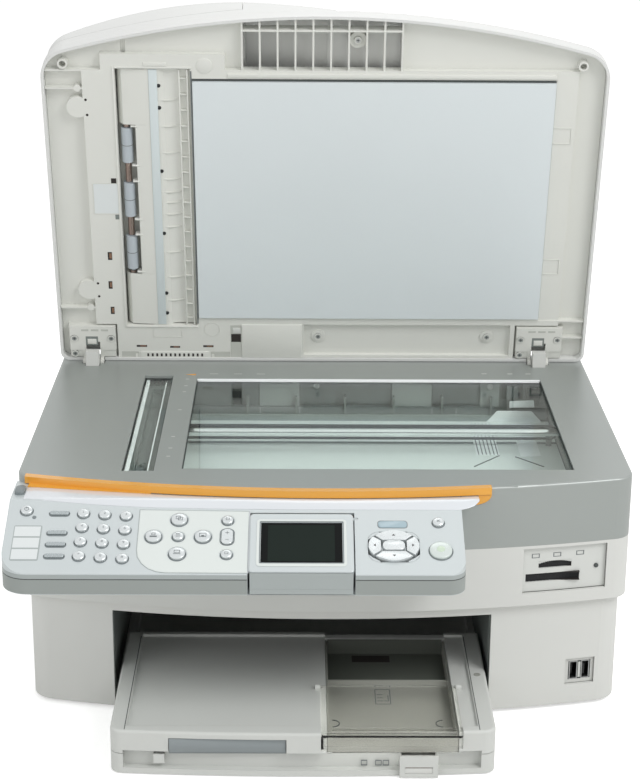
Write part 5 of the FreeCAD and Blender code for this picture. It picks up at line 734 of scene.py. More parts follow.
class PRINTER_OT_panel_edges(bpy.types.Operator):
    """Gloss bar with its painted highlight, skirt, shadow gap and the display's inner frame"""

    bl_idname = "printer.panel_edges"
    bl_label = "Panel edges"

    def execute(self, context):
        self.gloss_bar()
        self.trim_ends()
        self.skirt()
        window = round_outline(-47.8, 11.2, -63.5, -24.1, 0.8)
        on_panel("display_inner_frame", "zone",
            [(pierced_plate, round_outline(-50.6, 14, -67, -21.4, 3), [grown(window, 0.7)], 2, 2.3)], "lcd")
        on_panel("display_window_edge", "rim", [(pierced_plate, grown(window, 0.65), [window], 2, 2.2)], "lcd")
        on_panel("display_matrix", "screen", [(-42.4, 5.4, -61.4, -26.6, 1.5, 1.54)], "lcd")
        # The display's lower side in the darker edge paint: painted shade
        profile = [(-237.66, 139.7), (-237.56, 139.7), (-237.56, 143.7), (-231.8, 143.7), (-236.9, 155.4),
            (-237.66, 156.2)]
        make_piece("display_skirt", "edge_shade_paint", [(plate, profile[::-1], -54.9, 18.3)], SIDEWAYS, "lcd")
        return {"FINISHED"}

    def trim_ends(self):
        """The trim's lip on the left ledge and its rounded tail at the right."""
        lip, tail = [], []
        for i in range(46):
            x = -221.5 + 2 * i
            y = bow(x) - 2.4
            lip.append((x, x + 2.02, y - 6.6 * (1 - i / 46), y + 0.8, 184.45, 185.75))
        for i in range(24):
            x = 110 + 0.5 * i
            reach = math.sqrt(1 - ((i + 0.5) / 24) ** 2)
            tail.append((x, x + 0.52, bow(x) - 0.9, bow(x) + 0.4, 184.6 - 7.5 * reach, 184.6))
        make_piece("trim_lip", "trim_gloss", lip)
        make_piece("trim_tail", "trim_gloss", tail)

    def gloss_bar(self):
        """Rounded bar that runs from the deck's ledge down the head of the panel, painted whiter than the panel
        as a highlight.
        """
        ledge, crease, slope = 184.5, -171, math.radians(24)
        # How far the bar reaches down the panel: x, millimetres
        depth = [(-222, 0.3), (-205, 1.6), (-190, 3.2), (-165, 5.8), (-129, 8.2), (-75, 9.4), (-19, 9.95),
            (40, 9.9), (97, 9.85), (103, 8.2), (108, 5.4), (111, 2.2), (112, 0.5)]
        upper, lower = [], []
        xs = [-222 + 320 * i / 40 for i in range(37)] + [68 + 44 * i / 22 for i in range(23)]
        for k, x in enumerate(xs):
            start = max(bow(x) - 2.4, -169.3)
            flat = start - crease
            total = flat + at_table(depth, x)
            near = min(k, len(xs) - 1 - k) / 3
            end = math.sqrt(max(0, 1 - (1 - near) ** 2)) if near < 1 else 1
            top_row, low_row = [], []
            for j in range(11):
                along = total * j / 10
                bulge = 0.06 + 1.05 * max(0, math.sin(math.pi * j / 10)) ** 0.7 * (0.25 + 0.75 * end)
                y, z = start - along, ledge
                if along >= flat:
                    y, z = crease - (along - flat) * math.cos(slope), ledge - (along - flat) * math.sin(slope)
                lean = slope * min(1, max(0, (along - flat + 1.5) / 3))
                top_row.append((x, y - math.sin(lean) * bulge, z + math.cos(lean) * bulge))
                low_row.append((x, y + math.sin(lean) * 0.02 if x < 98.2 else bow(x) + 0.2, z - 0.02))
            upper.append(top_row)
            lower.append(low_row)
        make_piece("gloss_bar", "highlight_lacquer", [(skin, upper, lower)])
        # Grey end piece: painted shade where the bar curves away at its left end
        make_piece("bar_end_piece", "rim",
            [(plate, round_outline(-229.6, -222.4, -163, -148, 2.6), ledge, 186.6, 0.8)])

    def skirt(self):
        """Bands round the panel's foot, on both sides of the display: the skirt, a painted shadow in the gap
        above it and the panel's edge in painted shade.
        """
        def left(grow):
            corner = arc(-211.5, -217.5, 20 + grow, 180, 270, 30)
            return [(-231.5 - grow, -137)] + corner + [(-56.6, -237.5 - grow)]

        def right(grow):
            corner = arc(85.3, -224.5, 13 + grow, 270, 360, 24)
            return [(19.9, -237.5 - grow)] + corner + [(98.3 + grow, -172)]

        for name, low, high, proud, material in (("skirt_band", 139.5, 150.4, 0.1, "skirt"),
                ("skirt_gap", 150.4, 151, 0.12, "gap"), ("panel_edge", 151, 154.2, 0.1, "edge_shade_paint")):
            make_piece(name, material, [(ribbon, path(proud), path(-0.5), low, high)
                for path in (left, right)])


# Screws of the lid: x, distance from the hinge line, level of the head
LID_SCREWS = [(-4.3, 23.9, -3.8), (144.9, 23.9, -3.8), (26, 299, -7.8), (-219.2, 23, -0.5), (-186.8, 23, -0.5),
    (-219.2, 7.8, -0.3), (174.8, 23, -0.5), (207.2, 23, -0.5), (174.8, 7.8, -0.3)]


class PRINTER_OT_lid_details(bpy.types.Operator):
    """Rims, pads, slots and marks of the lid's inner frame"""

    bl_idname = "printer.lid_details"
    bl_label = "Lid details"

    def execute(self, context):
        self.left_side()
        self.rear_edge()
        self.right_side()
        self.screws()
        return {"FINISHED"}

    def left_side(self):
        """Lip of the feeder's well, and the holes, slots and label left of it."""
        on_lid("well_lip", layer(FACE, -1.3, (-174, -172.3, 34, 278), (-172.3, -109.2, 276.3, 278),
            (-172.3, -109.2, 34, 35.7)), edge=0.3)
        on_lid("well_lip_tab", [(-148.5, -129.5, 278, 281.6, FACE, -1.5)], edge=0.4)
        on_lid("well_seal", [(-110.3, -109.3, 38, 274, FACE, -1.7)], "marks")
        on_lid("round_pad", [(plate, ring_outline(-98.8, 278.9, 6.6), -6.2, -1.5, 0.4)])
        on_lid("round_mark", [(hollow_ring, -98, 32, 7, 6.5, FACE, -1.9)])
        on_lid("tab_holes", [(plate, ring_outline(x, s, 1.1, 14), FACE, FACE + 0.1)
            for x, s in ((-196.6, 248.6), (-196, 235.2), (-195.6, 77.6), (-195.2, 64.8))], "dark_hole")
        on_lid("square_hole", raised(0.1, (-179.4, -174.9, 173.2, 177.9)), "dark_hole")
        on_lid("square_sensor", [(-177.3, -172.9, 139.6, 144, FACE, FACE + 0.12),
            (-173.9, -172.9, 140.2, 143.2, FACE + 0.12, FACE + 0.16)], "inner_grey")
        slots = [(-185.7, -182, 100.6, 108.2), (-186.4, -183.1, 72.4, 79.8), (-185.8, -182.5, 47.2, 54.4),
            (-164.7, -155.5, 13.9, 15.8), (-135.2, -126.4, 13.1, 14.9), (-105.8, -96.8, 13.9, 15.8)]
        pads = [(a + (b - a) * 0.35, b - (b - a) * 0.1, c + (d - c) * 0.2, d - (d - c) * 0.15)
            for a, b, c, d in slots]
        on_lid("slot_holes", raised(0.1, *slots), "dark_hole")
        on_lid("slot_pads", layer(FACE + 0.1, FACE + 0.18, *pads), "copper_slot")
        on_lid("label_plate", raised(0.25, (-194.5, -174.2, 145.2, 172.8)), "paper")
        on_lid("label_edge", frame_of(-184.35, 159, 21.3, 28.6, 0.5, FACE, FACE + 0.35))

    def rear_edge(self):
        """Vent, wire channel and steps near the hinge line; the vent's side recesses and the wire channel are
        flat plates in painted shade.
        """
        on_lid("vent_plate", raised(0.6, (-161.4, -100.8, 2.9, 9.6)), edge=0.3)
        holes = [-154.8 + 47.8 * i / 12 for i in range(13)]
        on_lid("vent_holes", layer(FACE + 0.6, FACE + 0.68, *[(x - 0.85, x + 0.85, 4.6, 7.6) for x in holes]),
            "dark_hole")
        on_lid("vent_side_recesses", raised(0.08, (-178, -163, 3.6, 9.2), (-99.2, -82, 3.6, 9.2)), "lid_shade")
        on_lid("vent_side_lips", raised(0.6, (-178, -163, 2.9, 3.6), (-99.2, -82, 2.9, 3.6))
            + raised(0.5, (-166, -163.6, 3.6, 7), (-98.6, -96.2, 3.6, 7)))
        on_lid("wire_channel", raised(0.08, (-81.5, -72, 3.4, 36.2)), "lid_shade")
        on_lid("wire_hole", layer(FACE + 0.08, FACE + 0.16, (-80.9, -72.4, 19.4, 27.4)), "dark_hole")
        on_lid("wire_clip", layer(FACE + 0.08, FACE + 0.5, (-79.4, -72.6, 28.2, 33.6)), "grey_abs", 0.3)
        on_lid("rear_step", raised(0.8, (-71.6, -18.6, 3.6, 37.2)), edge=0.4)
        on_lid("tray_outline", raised(0.2, (-149.8, -149.1, 23.9, 32.3), (-149.1, -124, 23.9, 24.6),
            (-124.7, -124, 24.6, 32.3)), edge=0.1)

    def right_side(self):
        """Edges of the backing sheet's well, a painted shadow in the gap above the sheet, and what lies on the
        hinge brackets.
        """
        on_lid("sheet_gap_line", [(-109.2, 188.6, 265.5, 267.2, -3.5, -2.4)], "gap")
        on_lid("front_ridge", [(-80, 188.6, 268.6, 272.4, FACE, -1)], edge=0.5)
        on_lid("right_recess_edges", layer(FACE - 1.2, FACE - 0.7, (189.9, 203.6, 101.6, 102.4),
            (189.9, 203.6, 87.6, 88.4), (202.8, 203.6, 88.4, 101.6), (189.9, 204.6, 224.6, 225.4),
            (189.9, 204.6, 210.6, 211.4), (203.8, 204.6, 211.4, 224.6)), edge=0.15)
        for side, x in (("left", -203), ("right", 191)):
            # Slots drawn as flat plates in painted shade
            on_lid("bracket_slots_" + side, layer(-0.9, -0.82, *[(x + a, x + b, 30.4, 32.2)
                for a, b in ((-9.8, -3.4), (-1.2, 5.4), (7.6, 13.8))]), "lid_shade")
            on_lid("bracket_window_" + side, [(x - 6.2, x + 4.6, 16.2, 25, -0.9, -0.82)], "inner_grey")
            on_lid("bracket_block_" + side, [(x - 4.6, x + 3.2, 17.6, 22.6, -0.82, -0.4)], edge=0.2)

    def screws(self):
        """Collars and cross recesses of the screws; the recesses are flat plates in painted shade."""
        on_lid("screw_collars", [(hollow_ring, x, s, 3.3, 2.15, top - 0.02, top + 0.16, 20)
            for x, s, top in LID_SCREWS])
        crosses = [(x - a, x + a, s - b, s + b, top, top + 0.05) for x, s, top in LID_SCREWS
            for a, b in ((1.3, 0.28), (0.28, 1.3))]
        on_lid("screw_recesses", crosses, "gap")


# Ends of the feeder's well along the lid
WELL = (37, 275.2)


class PRINTER_OT_feeder_details(bpy.types.Operator):
    """Paper guide, ribbed channel, ladder and sleeves of the document feeder"""

    bl_idname = "printer.feeder_details"
    bl_label = "Feeder details"

    def execute(self, context):
        low, high = WELL
        on_lid("guide_strip", [(-144.6, -137.6, low, high, -3.4, -2.3)], "blue_film", 0.25)
        for place, near, far, width in (("front", 226, high, 26), ("middle", 86.5, 226, 12.4),
                ("rear", low, 86.5, 26)):
            reaches = [-width * i / 14 for i in range(15)]
            on_lid("guide_apron_" + place, self.sheet(-144.6, reaches, near, far, self.apron_level))
        on_lid("rib_channel", self.sheet(-137.4, [16.9 * i / 10 for i in range(11)], low, high,
            self.channel_level))
        self.channel_ribs()
        on_lid("ladder_rails", layer(-7, -2.6, (-120.3, -119, low, high), (-113.6, -112.4, low, high)),
            edge=0.2)
        on_lid("ladder_rungs", [(-119.2, -113.4, s - 0.5, s + 0.5, -6, -3.4)
            for s in [267 - 14 * i for i in range(17)]], edge=0.2)
        on_lid("ladder_back", [(-119, -113.6, low, high, -7, -6), (-112.4, -110.7, low, high, -7, -5.2)])
        on_lid("guide_bumps", [(plate, ring_outline(-136.6, s, 1.7, 16), -3.9, -2.5, 0.4)
            for s in (260.9, 241.5, 184.3, 126, 67.8, 48)], "dark_abs")
        on_lid("guide_fins", [(-161, -154.2, s - 0.7, s + 0.7, -9, -3)
            for s in (88.4, 124.4, 138.9, 174.5, 189.1, 224.6)], edge=0.2)
        shaft = LID @ Matrix.Rotation(math.radians(-90), 4, "X")
        sleeves = [(hollow_ring, -164.7, 8, 2.7, 1.85, first, last, 20)
            for first, last in ((80, 88.5), (123, 140.5), (173, 190.5), (223, 231))]
        seams = [(hollow_ring, -164.7, 8, 4.86, 4.7, s - 0.3, s + 0.3) for s in (106.5, 156.7, 206.9)]
        make_piece("shaft_sleeves", "bronze", sleeves, shaft, "feeder_rollers")
        make_piece("roller_seams", "marks", seams, shaft, "feeder_rollers")
        return {"FINISHED"}

    def apron_level(self, reach):
        """Smooth paper guide left of the strip, dipping at its far edge."""
        return -2.85 - 1.5 * (reach / 22.5) ** 2 - max(0, -reach - 22.6) * 1.3

    def channel_level(self, reach):
        """Ribbed channel right of the strip."""
        return -3.6 - 2.6 * math.sin(math.pi * min(1, reach / 16.9) * 0.62)

    def sheet(self, x, reaches, low, high, level):
        """Curved sheet, 0.9 mm thick, between two places along the lid."""
        upper = [[(x + reach, s, level(reach)) for reach in reaches] for s in (low, high)]
        return [(skin, upper, [[(px, s, z - 0.9) for px, s, z in row] for row in upper])]

    def channel_ribs(self):
        """Slightly bowed ribs across the channel."""
        reaches = [16.9 * i / 10 for i in range(11)]
        ribs = []
        for middle in (248.56, 225.2071, 201.2492, 177.0673, 165.0706, 155.3688, 144.4543, 132.327, 108.0726,
                83.8181, 60.7763):
            top = [[(-137.4 + reach, middle - 1.4 * math.sin(math.pi * reach / 16.9)
                + side, self.channel_level(reach) + 0.9) for reach in reaches] for side in (-0.45, 0.45)]
            ribs.append((skin, top, [[(x, s, z - 1) for x, s, z in row] for row in top]))
        on_lid("channel_ribs", ribs)


# Level of the deck and of the glass's face
DECK_TOP = 190
GLASS_TOP = 187.52


class PRINTER_OT_deck_details(bpy.types.Operator):
    """Painted highlights along the glass edges, size marks and corner sign round the glass"""

    bl_idname = "printer.deck_details"
    bl_label = "Deck details"

    def execute(self, context):
        make_piece("glass_bright_edge", "highlight_strip", [(-108.9, 187.7, 92.4, 93.75, GLASS_TOP, 189.95)],
            edge=0.3)
        make_piece("glass_side_edges", "pan_dark", layer(GLASS_TOP, 188.6, (-109, -108.4, -122, 92.4),
            (187.2, 187.8, -122, 92.4)))
        marks = [(x - 3.6, x + 3.6, 106.3, 107.4) for x in (-95, -74.1, -54.1)]
        marks += [(x - 2.2, x + 2.2, 109, 110.6) for x in (140.7, 163.4, 179.2)]
        marks += [(-120.5 + 0.02 * y, -117.6 + 0.02 * y, y - 0.6, y + 0.6)
            for y in (92, 74, 58, 12, -52, -78, -96)]
        make_piece("size_marks", "grey_abs", layer(DECK_TOP, DECK_TOP + 0.08, *marks))
        make_piece("corner_sign", "trim_gloss",
            [(plate, [(-119.2, 104.4), (-110.6, 102.4), (-110.6, 106.6)], DECK_TOP, DECK_TOP + 0.2)])
        # White bars under the strip glass: painted highlight on its edges
        make_piece("strip_light_bars", "highlight_strip", layer(184, 184.45, (-152.9, -149.6, -122, 100),
            (-135.9, -134.9, -122, 98)))
        make_piece("strip_edge_lines", "pan_dark", layer(GLASS_TOP, 187.62, (-154.2, -153.5, -126.8, 101.2),
            (-130.7, -130, -126.8, 101.2)))
        make_piece("strip_teeth", "dark_hole", [(-150 + 3.3 * i, -148.2 + 3.3 * i, 93, 100.4, 183.6, 184.45)
            for i in range(5)])
        return {"FINISHED"}


# Top of the pale plate on the scanner pan's floor
PAN_FLOOR = 148.4


class PRINTER_OT_pan_details(bpy.types.Operator):
    """Floor, stepped wall, cables and screws seen through the glass, in tones of painted light and shade"""

    bl_idname = "printer.pan_details"
    bl_label = "Scanner pan details"

    def execute(self, context):
        make_piece("pan_floor_plate", "pan_floor", [(-122, 197, -134.5, 97.4, 148, PAN_FLOOR)])
        # Darker band across the floor: painted shadow of the rod above it
        make_piece("pan_floor_groove", "pan_mid", [(-122, 197, 41, 45.5, PAN_FLOOR, 148.5)])
        make_piece("pan_lower_step", "pan_pale", [(-122, 150, 97.4, 108, 148, 154)], edge=0.4)
        make_piece("pan_upper_step", "pan_mid", [(-122, 150, 99.6, 108, 154, 160)], edge=0.4)
        make_piece("scan_rail", "rubber", layer(PAN_FLOOR, 151, (-122, 197, 69, 73.4), (-122, 197, 75, 79.4)),
            edge=0.3)
        ticks = layer(PAN_FLOOR, 153.8, *[(x, x + 0.9, 97, 99.6) for x in (-90, -35, 24, 84)])
        ticks += layer(154, 159.8, *[(x, x + 0.9, 99.2, 101) for x in (-55, -20.6, 60.2, 94.9, 116)])
        make_piece("pan_step_ticks", "pan_pale", ticks)
        self.rear_wall()
        self.cables()
        return {"FINISHED"}

    def rear_wall(self):
        """Panels, recesses, slots, blocks and screws of the rear wall."""
        make_piece("pan_wall_panels", "pan_pale", layer(160, 184, (-55.2, -20.6, 104, 108),
            (60.2, 94.9, 104, 108), (137.3, 153.9, 104, 108)), edge=0.5)
        make_piece("pan_wall_recess", "pan_mid", layer(161, 183, (-20, 59.6, 106.6, 108),
            (95.5, 136.7, 106.6, 108)))
        make_piece("pan_wall_left", "pan_mid", layer(160, 184, (-112, -79, 104.6, 108),
            (-70.8, -56, 105.4, 108)), edge=0.4)
        make_piece("pan_wall_slots", "pan_dark", [(-104.6, -96.2, 104.4, 104.7, 174.6, 177.4),
            (-78.6, -71.2, 107.4, 108, 160.5, 184), (156.5, 175, 106.8, 108, 166, 184),
            (178, 190, 105.6, 108, 160, 176)])
        make_piece("pan_right_block", "pan_mid", [(160, 170, 101, 106.8, 168, 180),
            (181, 195, 98, 105.6, 150, 158)], edge=0.6)
        heads = [(plate, ring_outline(x, z, 2.6, 20), -y, -y + 1.2, 0.4)
            for x, z, y in ((-5.7, 177.5, 106.6), (146, 178, 104))]
        make_piece("pan_screws", "steel", heads, UPRIGHT)

    def cables(self):
        """Flat cables, their fan at the wall and the fold lines at their ends."""
        fan = [(plate, [(143, 148.4), (191, 148.4), (182, 158.4), (152, 158.4)], -97, -96.2),
            (plate, [(163, 160), (185, 160.4), (184, 167), (163, 166)], -101, -100.4)]
        make_piece("pan_foil_fan", "foil", fan, UPRIGHT)
        make_piece("pan_flat_cables", "foil", layer(PAN_FLOOR, 148.8, (127, 146.4, 14, 90),
            (163.6, 180.6, 11, 90)))
        make_piece("pan_cable_lines", "pan_mid", [(x, x + 0.9, 14.2, 89.8, 148.8, 148.9)
            for x in (128.6, 131.8, 135, 138.2, 141.4, 144.4)])
        folds = []
        for ends in (((123, -13), (146, 12.6)), ((159, 10), (180, -13))):
            start, end = (Vector(point) for point in ends)
            side = Vector((end.y - start.y, start.x - end.x)).normalized() * 0.45
            folds.append((plate, [start - side, start + side, end + side, end - side], PAN_FLOOR, 148.9))
        make_piece("pan_fold_lines", "pan_dark", folds)


# Card slots in the housing's front: left, right, low and high edge
CARD_SLOTS = [(160.5, 186, 120.9, 126.5), (150.8, 192.5, 110, 116.6)]


class PRINTER_OT_port_details(bpy.types.Operator):
    """Linings, contacts and signs of the card slots and the port pair"""

    bl_idname = "printer.port_details"
    bl_label = "Port details"

    def execute(self, context):
        self.card_slots()
        self.port_faces()
        self.inlet_face()
        signs = []
        for x in (158, 174.6, 192.4):
            for i in range(10):
                left = x - 3 + 0.6 * i
                y = bow(left + 0.3) + 3
                spans = [(129.6, 133)] if i in (0, 9) else [(129.6, 130), (132.6, 133)]
                signs += [(left, left + 0.62, y - 0.12, y + 0.5) + span for span in spans]
        make_piece("card_signs", "marks", signs)
        make_piece("card_lamp", "gap", [(plate, ring_outline(205.4, 119.7, 1.8, 18), 140.4, 141.2, 0.3)],
            UPRIGHT)
        return {"FINISHED"}

    def card_slots(self):
        """Lining, contacts and shutters of the two slots, and the curved top of the upper one."""
        lining, shutters, arch = [], [], []
        wall, depth, steps = 0.3, -100, 16
        for left, right, low, high in CARD_SLOTS:
            front = bow(left) + 3.6
            a, b, c, d = left + 0.02, right - 0.02, low + 0.02, high - 0.02
            lining += [(a, b, front + 4.6, depth, c, c + wall), (a, b, front + 4.6, depth, d - wall, d)]
            lining += [span + (c + wall, d - wall)
                for span in ((a, a + wall, front + 0.6, depth), (b - wall, b, bow(right) + 3.6, depth),
                (a + wall, b - wall, depth - 4, depth))]
            width = (right - left - 0.2) / steps
            for i in range(steps):
                x = left + 0.1 + width * i
                y = bow(x + width) + 4.2
                shutters.append((x, x + width + 0.01, y, y + 0.5, low + 0.1, high - 0.1))
        for i in range(steps):
            x = 160.52 + 25.46 * i / steps
            y = bow(x + 1.6) + 3.05
            drop = 0.1 + 1.7 * ((2 * i - 15) / 15) ** 2
            arch.append((x, x + 1.6, y, y + 0.9, 126.5 - drop, 126.5))
        make_piece("card_slot_lining", "dark_hole", lining)
        make_piece("card_slot_contacts", "steel", [(152.6, 191, -136, -132, 112.2, 113.2)])
        make_piece("card_slot_shutters", "rubber", shutters)
        make_piece("card_slot_arch", "grey_abs", arch)

    def inlet_face(self):
        """Black face, bore sleeves and plated pins of the mains inlet at the back."""
        centres = [(-195.3, 23.6), (-186.7, 23.6)]
        bores = [ring_outline(x, z, 4.1, 24) for x, z in centres]
        face = [(pierced_plate, round_outline(-204.9, -177.1, 13.7, 33.5, 1), bores, -161.08, -160.98)]
        sleeves = []
        for (x, z), bore in zip(centres, bores):
            sleeves += [(hollow_ring, x, z, 4.16, 3.9, -161, -149.4, 24), (plate, bore, -149.5, -149.1)]
        make_piece("inlet_face", "dark_abs", face, UPRIGHT)
        make_piece("inlet_sleeves", "dark_abs", sleeves, UPRIGHT)
        make_piece("inlet_pins", "steel", [(plate, ring_outline(x, z, 1.27, 16), -159.9, -149.4)
            for x, z in centres], UPRIGHT)

    def port_faces(self):
        """White surround, plated shells and middle web of the port pair."""
        def columns(left, right, low, high, rise):
            """Narrow blocks side by side that follow the housing's slanting front."""
            steps = max(1, round((right - left) / 0.8))
            width = (right - left) / steps
            places = [(left + width * i, -138.6 + (left + width * i - 190.2) * 0.222) for i in range(steps)]
            return [(x, x + width + 0.01, y - rise, y + 0.25, low, high) for x, y in places]

        surround, shells = [], []
        for spans in ((186.3, 188.7, 19.3, 40.7), (206.3, 208.7, 19.3, 40.7), (188.7, 206.3, 19.3, 22.2),
                (188.7, 206.3, 37.8, 40.7)):
            surround += columns(*spans, 0.06)
        for left, right in ((189.5, 196), (199, 205.5)):
            for spans in ((left, left + 0.6, 23, 37), (right - 0.6, right, 23, 37), (left, right, 22.4, 23),
                    (left, right, 37, 37.6)):
                shells += columns(*spans, 0.12)
        make_piece("port_surround", "white_abs", surround)
        make_piece("port_shells", "steel", shells)
        make_piece("port_web", "grey_abs", columns(196.6, 198.4, 23.4, 36.6, 0.1))


# Levels of the output tray's rim and of the photo tray's floor
TRAY_RIM = 35.5
PHOTO_FLOOR = 20


class PRINTER_OT_tray_details(bpy.types.Operator):
    """Rim lines, signs, clips and front plates of the trays"""

    bl_idname = "printer.tray_details"
    bl_label = "Tray details"

    def execute(self, context):
        make_piece("output_rim_lines", "gap", layer(TRAY_RIM, 35.56, (-145.9, -145.3, -243, -92),
            (110.6, 111.2, -243, -92)), body="output_tray")
        plug = [(hollow_ring, 116.3, -157.3, 2.6, 1.3, TRAY_RIM, 35.8, 20),
            (plate, ring_outline(116.3, -157.3, 1.25, 16), TRAY_RIM, 35.56)]
        make_piece("output_tray_plug", "tray_grey", plug, body="output_tray")
        face = [[(x, -246.52 - 1.3 * math.sin(math.pi * i / 12), 18.3 + i) for x in (-113.3, -29.2)]
            for i in range(13)]
        back = [[(x, -246.5, z) for x, y, z in row] for row in face]
        make_piece("extension_handle_face", "handle_silver", [(skin, face, back)], body="tray_extension")
        # Dark plates on the photo tray's rear floor and wall: painted shade under the housing
        pad = [(2.6, 93.9, -149, -92.6, PHOTO_FLOOR, 20.25), (2.6, 93.9, -92.6, -92.2, PHOTO_FLOOR, 33)]
        make_piece("photo_tray_rear_pad", "tray_floor_shade", pad, body="photo_tray")
        make_piece("photo_tray_window", "dark_hole", [(22, 52, -107, -96, 20.25, 20.35)], body="photo_tray")
        sign = frame_of(44, -166, 12, 24, 0.7, PHOTO_FLOOR, 20.1)
        sign += layer(PHOTO_FLOOR, 20.1, *[(39.6, 44, -166 + y, -166 + y + 0.7) for y in (-7, -2, 3)],
            (44.8, 48.4, -173, -172.3), (47.7, 48.4, -172.3, -164))
        make_piece("photo_tray_sign", "marks", sign, body="photo_tray")
        signs = []
        for x in (27.6, 38, 43.4):
            signs += [(a, b, -244.05, -243.75, 6.9 + (1.6 + c) * 1.4, 6.9 + (1.6 + d) * 1.4)
                for a, b, c, d, e, f in frame_of(x, 0, 4.6, 3.2, 0.5, 0, 0.1)]
        make_piece("groove_signs", "marks", signs, body="paper_tray")
        clips = [(ribbon, arc(x, -233.6, 5.4, 90, 90 + turn, 14), arc(x, -233.6, 4.6, 90, 90 + turn, 14), 35.1,
            TRAY_RIM) for x, turn in ((4.6, -180), (84.8, 180))]
        make_piece("photo_cover_clips", "gap", clips, body="photo_cover")
        bars = [(1, 94, -245.6, -244.2, 32.4, 33.2), (-3, 98, -250.4, -249.6, 26, 33.2),
            (4.2, 94.6, -241.4, -238.2, 32.7, 33.25)]
        make_piece("photo_cover_ribs", "clear_cover", bars, body="photo_cover")
        make_piece("latch_face", "white_abs", [(56.5, 77.5, -250.9, -250, 4.6, 8.6),
            (56.5, 77.5, -250.9, -250, 9.3, 12.4)], body="length_guide", edge=0.3)
        # Brown plate in the latch's slit: painted shade
        make_piece("latch_slit", "slit_shade", [(57.4, 75.4, -250.5, -250.3, 8.6, 9.3)], body="length_guide")
        return {"FINISHED"}


# Camera: pitch, yaw and roll in degrees, place and sensor in millimetres, lens and picture in pixels
CAMERA_ANGLES = (18.58, -0.61, -0.41)
CAMERA_PLACE = (-19.09, -1443.23, 700.53)
FOCAL_LENGTH = 1872.06
CENTRE_ROW = 385.72
PICTURE_HEIGHT = 781.0
SENSOR_HEIGHT = 36.0
# Half the width of the floor in millimetres
FLOOR_REACH = 6000.0
# Share of white in the light that the surroundings give
AMBIENT = 0.62
WHITE = (1, 1, 1, 1)


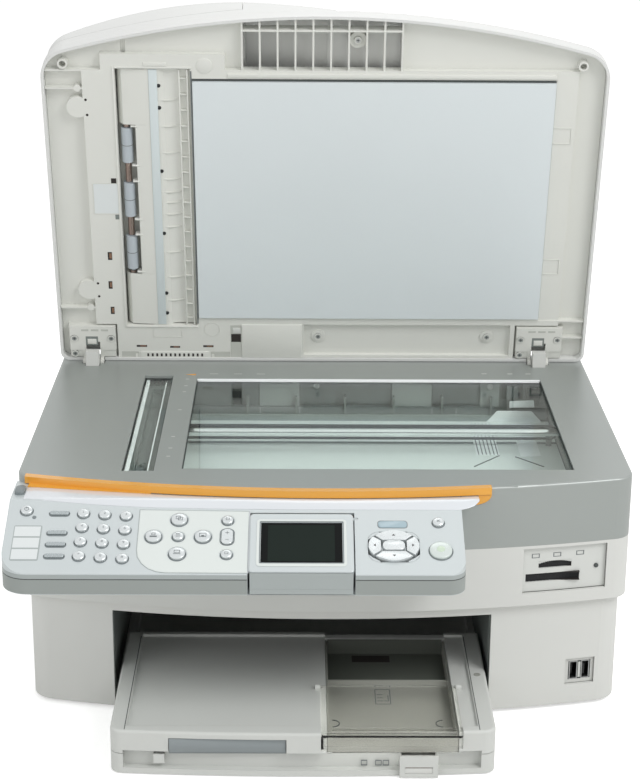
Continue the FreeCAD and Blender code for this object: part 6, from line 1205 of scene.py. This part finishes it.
class PRINTER_OT_stage(bpy.types.Operator):
    """Pale floor, soft studio light and the camera"""

    bl_idname = "printer.stage"
    bl_label = "Stage"

    def execute(self, context):
        scene = context.scene
        sizes = scene.printer_sizes
        scene.view_settings.view_transform = "Standard"
        self.add_floor(scene)
        self.light_world(scene)
        self.add_lamp("main_lamp", (1.3, -1.2, 1.9), 1.1, sizes.light)
        self.add_lamp("fill_lamp", (-1.6, -1.3, 1.2), 1.6, sizes.fill)
        self.add_lamp("rear_lamp", (0.1, 1.1, 1.7), 1.2, sizes.rear)
        self.add_camera(scene)
        return {"FINISHED"}

    def add_floor(self, scene):
        """Matt floor that shows the shadow and melts into the white behind it."""
        mesh = bmesh.new()
        block(mesh, -FLOOR_REACH, FLOOR_REACH, -FLOOR_REACH, FLOOR_REACH, -12.0, -0.02)
        data = bpy.data.meshes.new("floor")
        mesh.to_mesh(data)
        mesh.free()
        material = empty_material("Matt white floor")
        path = add_node(material, "ShaderNodeLightPath")
        diffuse = add_node(material, "ShaderNodeBsdfDiffuse", [("Color", linear("#F4F4F3"))])
        glow = add_node(material, "ShaderNodeEmission", [("Color", WHITE), ("Strength", 0.5)])
        both = add_node(material, "ShaderNodeAddShader", links=[(0, diffuse.outputs[0]), (1, glow.outputs[0])])
        mix = add_node(material, "ShaderNodeMixShader", links=[(0, path.outputs["Is Camera Ray"]),
            (1, diffuse.outputs[0]), (2, both.outputs[0])])
        add_node(material, "ShaderNodeOutputMaterial", links=[("Surface", mix.outputs[0])])
        data.materials.append(material)
        floor = bpy.data.objects.new("floor", data)
        scene.collection.objects.link(floor)

    def light_world(self, scene):
        """White where it is seen or mirrored, dimmer where it lights."""
        world = bpy.data.worlds.new("studio")
        world.use_nodes = True
        world.node_tree.nodes.clear()
        path = add_node(world, "ShaderNodeLightPath")
        seen = add_node(world, "ShaderNodeMath", links=[(0, path.outputs["Is Camera Ray"]),
            (1, path.outputs["Is Glossy Ray"])], operation="MAXIMUM")
        dim = add_node(world, "ShaderNodeBackground", [("Color", WHITE), ("Strength", AMBIENT)])
        white = add_node(world, "ShaderNodeBackground", [("Color", WHITE), ("Strength", 1.0)])
        mix = add_node(world, "ShaderNodeMixShader", links=[(0, seen.outputs[0]), (1, dim.outputs[0]),
            (2, white.outputs[0])])
        add_node(world, "ShaderNodeOutputWorld", links=[("Surface", mix.outputs[0])])
        scene.world = world

    def add_lamp(self, name, place, size, power):
        """Round soft lamp that looks at the printer's middle."""
        lamp = bpy.data.lights.new(name, "AREA")
        lamp.shape = "DISK"
        lamp.size = size
        lamp.energy = power
        holder = bpy.data.objects.new(name, lamp)
        holder.location = place
        aim = Vector((0.0, -0.02, 0.2)) - Vector(place)
        holder.rotation_euler = aim.to_track_quat("-Z", "Y").to_euler()
        bpy.context.scene.collection.objects.link(holder)

    def add_camera(self, scene):
        """Camera at the place and with the view that the photo gives."""
        pitch, yaw, roll = (math.radians(value) for value in CAMERA_ANGLES)
        right = Vector((math.cos(yaw), math.sin(yaw), 0.0))
        ahead = Vector((-math.sin(yaw) * math.cos(pitch), math.cos(yaw) * math.cos(pitch), -math.sin(pitch)))
        down = ahead.cross(right)
        across = math.cos(roll) * right + math.sin(roll) * down
        under = -math.sin(roll) * right + math.cos(roll) * down
        turn = Matrix((across, -under, -ahead)).transposed().to_4x4()
        camera = bpy.data.cameras.new("camera")
        camera.sensor_fit = "VERTICAL"
        camera.sensor_height = SENSOR_HEIGHT
        camera.lens = FOCAL_LENGTH * SENSOR_HEIGHT / PICTURE_HEIGHT
        camera.shift_y = (CENTRE_ROW - PICTURE_HEIGHT / 2) / PICTURE_HEIGHT
        camera.clip_end = 50.0
        holder = bpy.data.objects.new("camera", camera)
        holder.matrix_world = Matrix.Translation([value * MM for value in CAMERA_PLACE]) @ turn
        scene.collection.objects.link(holder)
        scene.camera = holder


CLASSES = [FinishSettings, SizeSettings, PRINTER_OT_finishes, PRINTER_OT_key_fields, PRINTER_OT_key_caps,
    PRINTER_OT_key_marks, PRINTER_OT_panel_edges, PRINTER_OT_lid_details, PRINTER_OT_feeder_details,
    PRINTER_OT_deck_details, PRINTER_OT_pan_details, PRINTER_OT_port_details, PRINTER_OT_tray_details,
    PRINTER_OT_stage]


class PRINTER_PT_panel(bpy.types.Panel):
    """Buttons for each group of pieces"""

    bl_idname = "PRINTER_PT_panel"
    bl_label = "Printer"
    bl_space_type = "VIEW_3D"
    bl_region_type = "UI"
    bl_category = "Printer"

    def draw(self, context):
        for item in CLASSES:
            if issubclass(item, bpy.types.Operator):
                self.layout.operator(item.bl_idname)


def register():
    for item in CLASSES + [PRINTER_PT_panel]:
        bpy.utils.register_class(item)
    bpy.types.Scene.printer_finish = bpy.props.PointerProperty(type=FinishSettings)
    bpy.types.Scene.printer_sizes = bpy.props.PointerProperty(type=SizeSettings)


def unregister():
    del bpy.types.Scene.printer_sizes
    del bpy.types.Scene.printer_finish
    for item in reversed(CLASSES + [PRINTER_PT_panel]):
        bpy.utils.unregister_class(item)


def main():
    register()
    for item in CLASSES:
        if issubclass(item, bpy.types.Operator):
            group, name = item.bl_idname.split(".")
            getattr(getattr(bpy.ops, group), name)()


if __name__ == "__main__":
    main()
